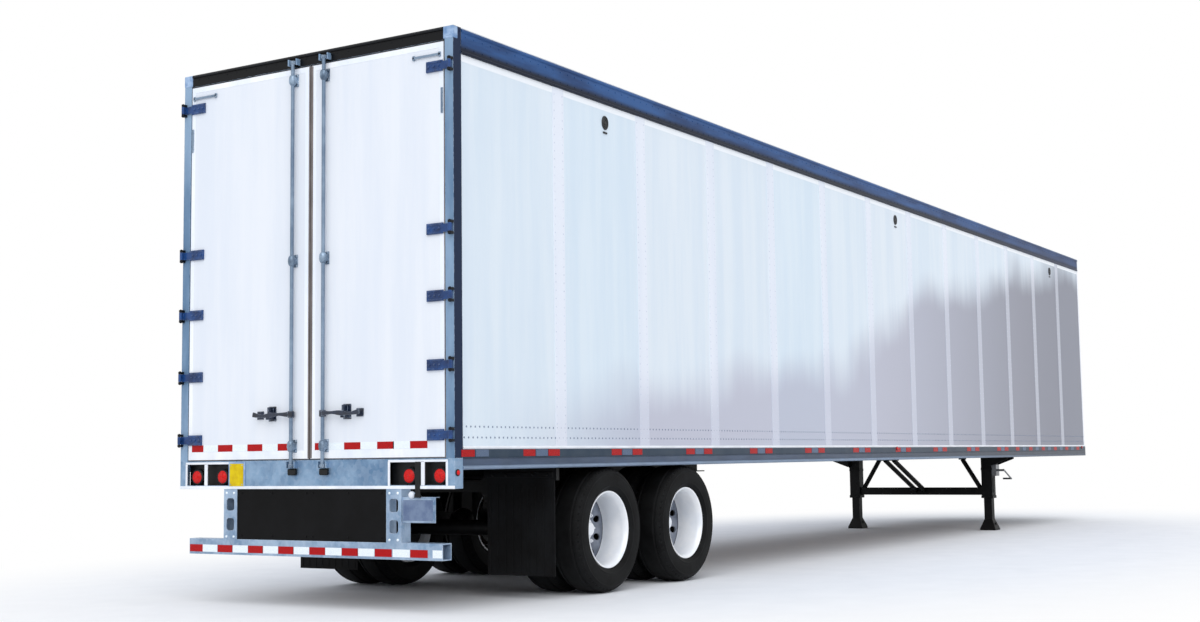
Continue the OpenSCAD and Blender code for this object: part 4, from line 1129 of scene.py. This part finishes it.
deep_black = black_steel("bogie_black", "040506", "0a0b0d", 0.2)
coat_nodes(deep_black, "slide_rails", "bogie_frame", "trailing_arms", "axles", "air_tank", "landing_braces",
           "landing_leg_left", "landing_leg_right")
bellows_rubber = finish("bellows_rubber", "08090a", "16171a", scale=14.0, fine=90.0, relief=0.3,
                        upright=14.0, rough=0.6, gloss=0.3)
axle_x = np.array([rear_x + 2.007, rear_x + 3.250])
spring_low, spring_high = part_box("air_springs")
lift = np.linspace(0, 1, 15)
swell = 0.088 + 0.016 * np.abs(np.sin(2 * np.pi * lift)) ** 0.7
bellows_profile = [(0.0, 0.0), (0.0, 0.080)] + [
    (0.004 + share * (spring_high.z - spring_low.z - 0.008), radius) for share, radius in zip(lift, swell)
] + [(spring_high.z - spring_low.z, 0.080), (spring_high.z - spring_low.z, 0.0)]
bellows = joined(*[turned(bellows_profile, (x - 0.310, 0.500, spring_low.z), (0, 0, 1), 40) for x in axle_x])
bellows_piece = mesh_piece("air_bellows", *both_sides(*bellows), bellows_rubber, "chassis", "rubber",
                           smooth=True)
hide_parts("air_springs")
pivot_nuts = domes(grid(axle_x + 0.47, [0.546], [0.545]), 0.034, 0.030, (0, 1, 0))
chambers = joined(*[turned([(0, 0), (0, 0.045), (0.02, 0.082), (0.075, 0.086), (0.095, 0.090), (0.115, 0.086),
                            (0.150, 0.070), (0.165, 0.0)], (x + 0.155, 0.330, 0.520), (0.9, 0, 0.25), 28)
                    for x in axle_x])
mesh_piece("pivot_bolts", *both_sides(*pivot_nuts), deep_black, "chassis", "black_steel")
mesh_piece("brake_chambers", *both_sides(*chambers), deep_black, "chassis", "black_steel", smooth=True)

# ---- Tyres -----------------------------------------------------------------------------------
# Eight tubeless trailer tyres, in twins. Four straight grooves part five ribs, short slots
# notch the shoulders, and the walls carry a scuff rib and a bead ring.

tyre_r, tyre_half = 0.487, 0.1425
bead_r = 0.286
twin_y, twin_half = 0.984, 0.165
tyre_rubber = finish("tyre_rubber", "070708", "121314", scale=6.0, fine=300.0, relief=0.2,
                     edges=(0.006, 0.5, "2c2d2f"), film=("1f1e1d", -0.1, 0.9, 0.2), rough=0.68, gloss=0.15)


def tyre_ring(middle_x, middle_y, segments=216, notches=54):
    """A tyre as a closed ring. Its section is a squared ellipse, |cos| and |sin| to the power
    0.62, with grooves cut where the tread's width has them; every notch lowers the shoulder
    where a square wave round the tyre is high."""
    a = np.linspace(0, 2 * np.pi, 96, endpoint=False) + np.pi / 96
    c, s = np.cos(a), np.sin(a)
    radius = (tyre_r + bead_r) / 2 + (tyre_r - bead_r) / 2 * np.sign(c) * abs(c) ** 0.62
    width = tyre_half * np.sign(s) * abs(s) ** 0.62
    tread = radius > tyre_r - 0.012
    share = width / tyre_half
    grooves = np.zeros(len(a))
    for middle in (-0.56, -0.19, 0.19, 0.56):
        grooves = np.maximum(grooves, (abs(share - middle) < 0.045) * 1.0)
    radius = radius - 0.011 * grooves * tread
    bulge = 0.0035 * (np.exp(-((radius - 0.335) / 0.006) ** 2) + np.exp(-((radius - 0.435) / 0.005) ** 2))
    width = width + np.sign(width) * np.minimum(bulge, tyre_half - abs(width))
    shoulder = tread & (abs(share) > 0.70) | (radius > tyre_r - 0.030) & (abs(share) > 0.80)
    turn = np.arange(segments) * 2 * np.pi / segments
    slot = (np.arange(segments) % (segments // notches) == 0) * 1.0
    radii = radius[:, None] - 0.008 * shoulder[:, None] * slot[None]
    across_y = np.broadcast_to((middle_y + width)[:, None], radii.shape)
    points = np.stack([middle_x + radii * np.sin(turn), across_y, tyre_r + radii * np.cos(turn)], -1)
    return points.reshape(-1, 3), [net(len(a), segments, looped=True)]


wheel_places = [(place, x, side, sign) for place, x in zip(("rear", "front"), axle_x)
                for side, sign in (("left", 1), ("right", -1))]
for place, x, side, sign in wheel_places:
    pair = joined(*[tyre_ring(x, sign * (twin_y + shift)) for shift in (-twin_half, twin_half)])
    made = mesh_piece(f"treaded_tyres_{place}_{side}", *pair, tyre_rubber, f"wheel_pair_{place}_{side}",
                      "tyre")
    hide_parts(f"tyres_{place}_{side}")

# ---- Wheels ----------------------------------------------------------------------------------
# Polished disc wheels, bolted back to back. The outer one is a deep dish with ten round
# hand holes, ten nuts and a hub with its oil cap; the drum shows behind the holes. Its barrel,
# nuts and hub are near-white, a painted reflection, and its disc a darker grey, painted shade.

rim_half_w = 0.116
flange_r, barrel_r, inner_r = 0.298, 0.284, 0.276
# Painted reflection: the barrel, nuts and hub are near-white for the bright reflections in the polish.
alloy_reflection_white = finish("alloy_white_painted_reflection", "ffffff", "f1f4f8", scale=5.0, fine=140.0, relief=0.05,
                  film=("d3d6da", 0.0, 0.9, 0.2), film_rough=(0.5, 0.22, 0.4),
                  rough=0.3, metal=0.05, gloss=0.6)
# Painted shade: the disc is darker grey for the shade deep in the dish.
disc_alloy_painted_shade = finish("disc_alloy_painted_shade", "8b919d", "5f6673", scale=6.0, fine=140.0, relief=0.05,
                    rough=0.34, metal=0.6)


def wheel_disc(hole_count=10, rings=10, around=40):
    """One wheel's disc, as sectors that each have a round hand hole: a point goes from the
    hole's circle to the sector's edge as its share goes from 0 to 1, in the flat coordinates
    (radius, angle); the height over the mounting face is a smooth cone, 0.012 + 0.036 q squared
    (3 - 2 q), where q runs from 0 at the nuts to 1 at the barrel."""
    low, high = 0.150, inner_r + 0.002
    half = np.pi / hole_count
    middle, hole = 0.226, 0.027
    a = np.arange(around) * 2 * np.pi / around + np.pi / 4
    c, s = np.cos(a), np.sin(a)
    square = 1 / np.maximum(abs(c), abs(s))
    edge_r = (low + high) / 2 + (high - low) / 2 * np.clip(c * square, -1, 1)
    edge_t = half * np.clip(s * square, -1, 1)
    share = np.linspace(0, 1, rings)[:, None]
    hole_r, hole_t = middle + hole * c, hole * s / middle
    radius = hole_r + (edge_r - hole_r) * share
    angle = hole_t + (edge_t - hole_t) * share
    q = np.clip((radius - 0.170) / (high - 0.170), 0, 1)
    height = 0.012 + 0.036 * q * q * (3 - 2 * q)
    thick = 0.011
    quads = net(rings, around, flipped=True)
    k = np.arange(around)
    size = rings * around
    wall = np.stack([k, (k + 1) % around, size + (k + 1) % around, size + k], -1)
    sectors = []
    for number in range(hole_count):
        turn = angle + 2 * half * number
        front = np.stack([radius * np.sin(turn), height, radius * np.cos(turn)], -1).reshape(-1, 3)
        back = front - np.array([0, thick, 0])
        sectors.append((np.concatenate([front, back]),
                        [quads[:, ::-1], quads + size, wall[:, ::-1]]))
    return joined(*sectors)


def about_axle(points, faces, middle_x, sign):
    """Moves a part made round the Y axis to one end of an axle, and mirrors it on the right."""
    if sign < 0:
        points, faces = mirrored(points, faces)
    return points + np.array([middle_x, sign * twin_y, tyre_r]), faces


h0, h1 = twin_half - rim_half_w, twin_half + rim_half_w
barrel = [(h0, flange_r - 0.004), (h0 + 0.002, flange_r), (h0 + 0.007, flange_r), (h0 + 0.009, barrel_r),
          (h0 + 0.040, barrel_r - 0.006), (h1 - 0.040, barrel_r - 0.006), (h1 - 0.009, barrel_r),
          (h1 - 0.007, flange_r), (h1 - 0.002, flange_r), (h1, flange_r - 0.003),
          (h1 - 0.001, flange_r - 0.010), (h1 - 0.012, inner_r + 0.001), (h1 - 0.050, inner_r - 0.008),
          (h0 + 0.060, inner_r - 0.008), (h0 + 0.030, inner_r + 0.001), (h0 + 0.002, inner_r + 0.003)]
nut_circle, cap_circle = 0.1675, 0.076
turn10 = np.arange(10) * 2 * np.pi / 10 + np.pi / 10
nut_places = np.stack([nut_circle * np.sin(turn10), np.full(10, 0.012), nut_circle * np.cos(turn10)], -1)
nut = turned([(-0.002, 0), (-0.002, 0.021), (0.004, 0.021), (0.006, 0.0165), (0.022, 0.0165), (0.024, 0.014),
              (0.024, 0.009), (0.034, 0.009), (0.036, 0.0)], (0, 0, 0), (0, 1, 0), 6)
centre_plate = turned([(0.001, 0.060), (0.001, 0.154), (0.012, 0.154), (0.014, 0.150), (0.014, 0.105),
                       (0.006, 0.098)], (0, 0, 0), (0, 1, 0), 60)
hub = turned([(0.0, 0.0), (0.0, 0.098), (0.060, 0.094), (0.078, 0.086), (0.083, 0.066), (0.088, 0.064),
              (0.091, 0.058), (0.112, 0.052), (0.117, 0.046), (0.1185, 0.0)], (0, 0, 0), (0, 1, 0), 40)
turn5 = turn10[::2]
cap_places = np.stack([cap_circle * np.sin(turn5), np.full(5, 0.081), cap_circle * np.cos(turn5)], -1)
cap_bolts = domes(cap_places, 0.006, 0.006, (0, 1, 0))
disc = wheel_disc()
drum = [(-0.225, 0.200), (-0.225, 0.206), (-0.220, 0.212), (-0.040, 0.212), (-0.018, 0.209), (-0.016, 0.150),
        (-0.016, 0.050), (-0.030, 0.050), (-0.034, 0.190), (-0.200, 0.198)]
drum_iron = finish("drum_iron", "2a2320", "4a3226", scale=16.0, fine=150.0, relief=0.4,
                   rough=0.65, metal=0.4)

barrel_ring = turned(barrel, (0, 0, 0), (0, 1, 0), 96)
wheel = joined(both_sides(*barrel_ring), copies(*nut, nut_places), hub, cap_bolts)
discs = joined(both_sides(*disc), centre_plate)
drum_ring = turned(drum, (0, 0, 0), (0, 1, 0), 64)
for place, x, side, sign in wheel_places:
    body = f"wheel_pair_{place}_{side}"
    made = mesh_piece(f"polished_wheels_{place}_{side}", *about_axle(*wheel, x, sign), alloy_reflection_white, body, "rim",
                      smooth=True)
    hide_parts(f"wheels_{place}_{side}")
    made.data.set_sharp_from_angle(angle=math.radians(32))
    made = mesh_piece(f"wheel_discs_{place}_{side}", *about_axle(*discs, x, sign), disc_alloy_painted_shade, body, "rim",
                      smooth=True)
    made.data.set_sharp_from_angle(angle=math.radians(32))
    mesh_piece(f"brake_drum_{place}_{side}", *about_axle(*drum_ring, x, sign), drum_iron, body, "black_steel")

# ---- Landing gear ----------------------------------------------------------------------------
# Two square telescopic legs on pressed shoes, with a cross shaft and braces between them. The
# right leg has the gearbox, and its crank is folded up against the rail.

leg_x, leg_y = rear_x + 12.325, 0.950
leg_half = 0.0725
collars = blocks([
    [(leg_x - 0.080, leg_y - 0.080, 0.428), (leg_x + 0.080, leg_y + 0.080, 0.466)],
    [(leg_x - 0.077, leg_y - 0.077, 0.800), (leg_x + 0.077, leg_y + 0.077, 0.836)],
    [(leg_x - 0.035, leg_y + leg_half - 0.001, 0.500),
     (leg_x + 0.035, leg_y + leg_half + 0.006, 0.700)]], 0.004)
shoe_pin = turned([(-0.092, 0), (-0.092, 0.014), (-0.088, 0.017), (0.088, 0.017), (0.092, 0.014), (0.092, 0)],
                  (leg_x, leg_y, 0.085), (0, 1, 0), 20)
bolt_places = grid([leg_x - 0.110, leg_x + 0.110], [leg_y + leg_half + 0.001], [0.890, 0.950])
wing_bolts = domes(bolt_places, 0.010, 0.008, (0, 1, 0))
gusset = extruded([(leg_y + leg_half - 0.004, 0.78), (leg_y + leg_half + 0.10, 0.965),
                   (leg_y + leg_half - 0.004, 0.965)], leg_x - 0.012, leg_x + 0.012)
mesh_piece("landing_leg_fittings", *both_sides(*joined(collars, shoe_pin, wing_bolts, gusset)), deep_black,
           "chassis", "black_steel")
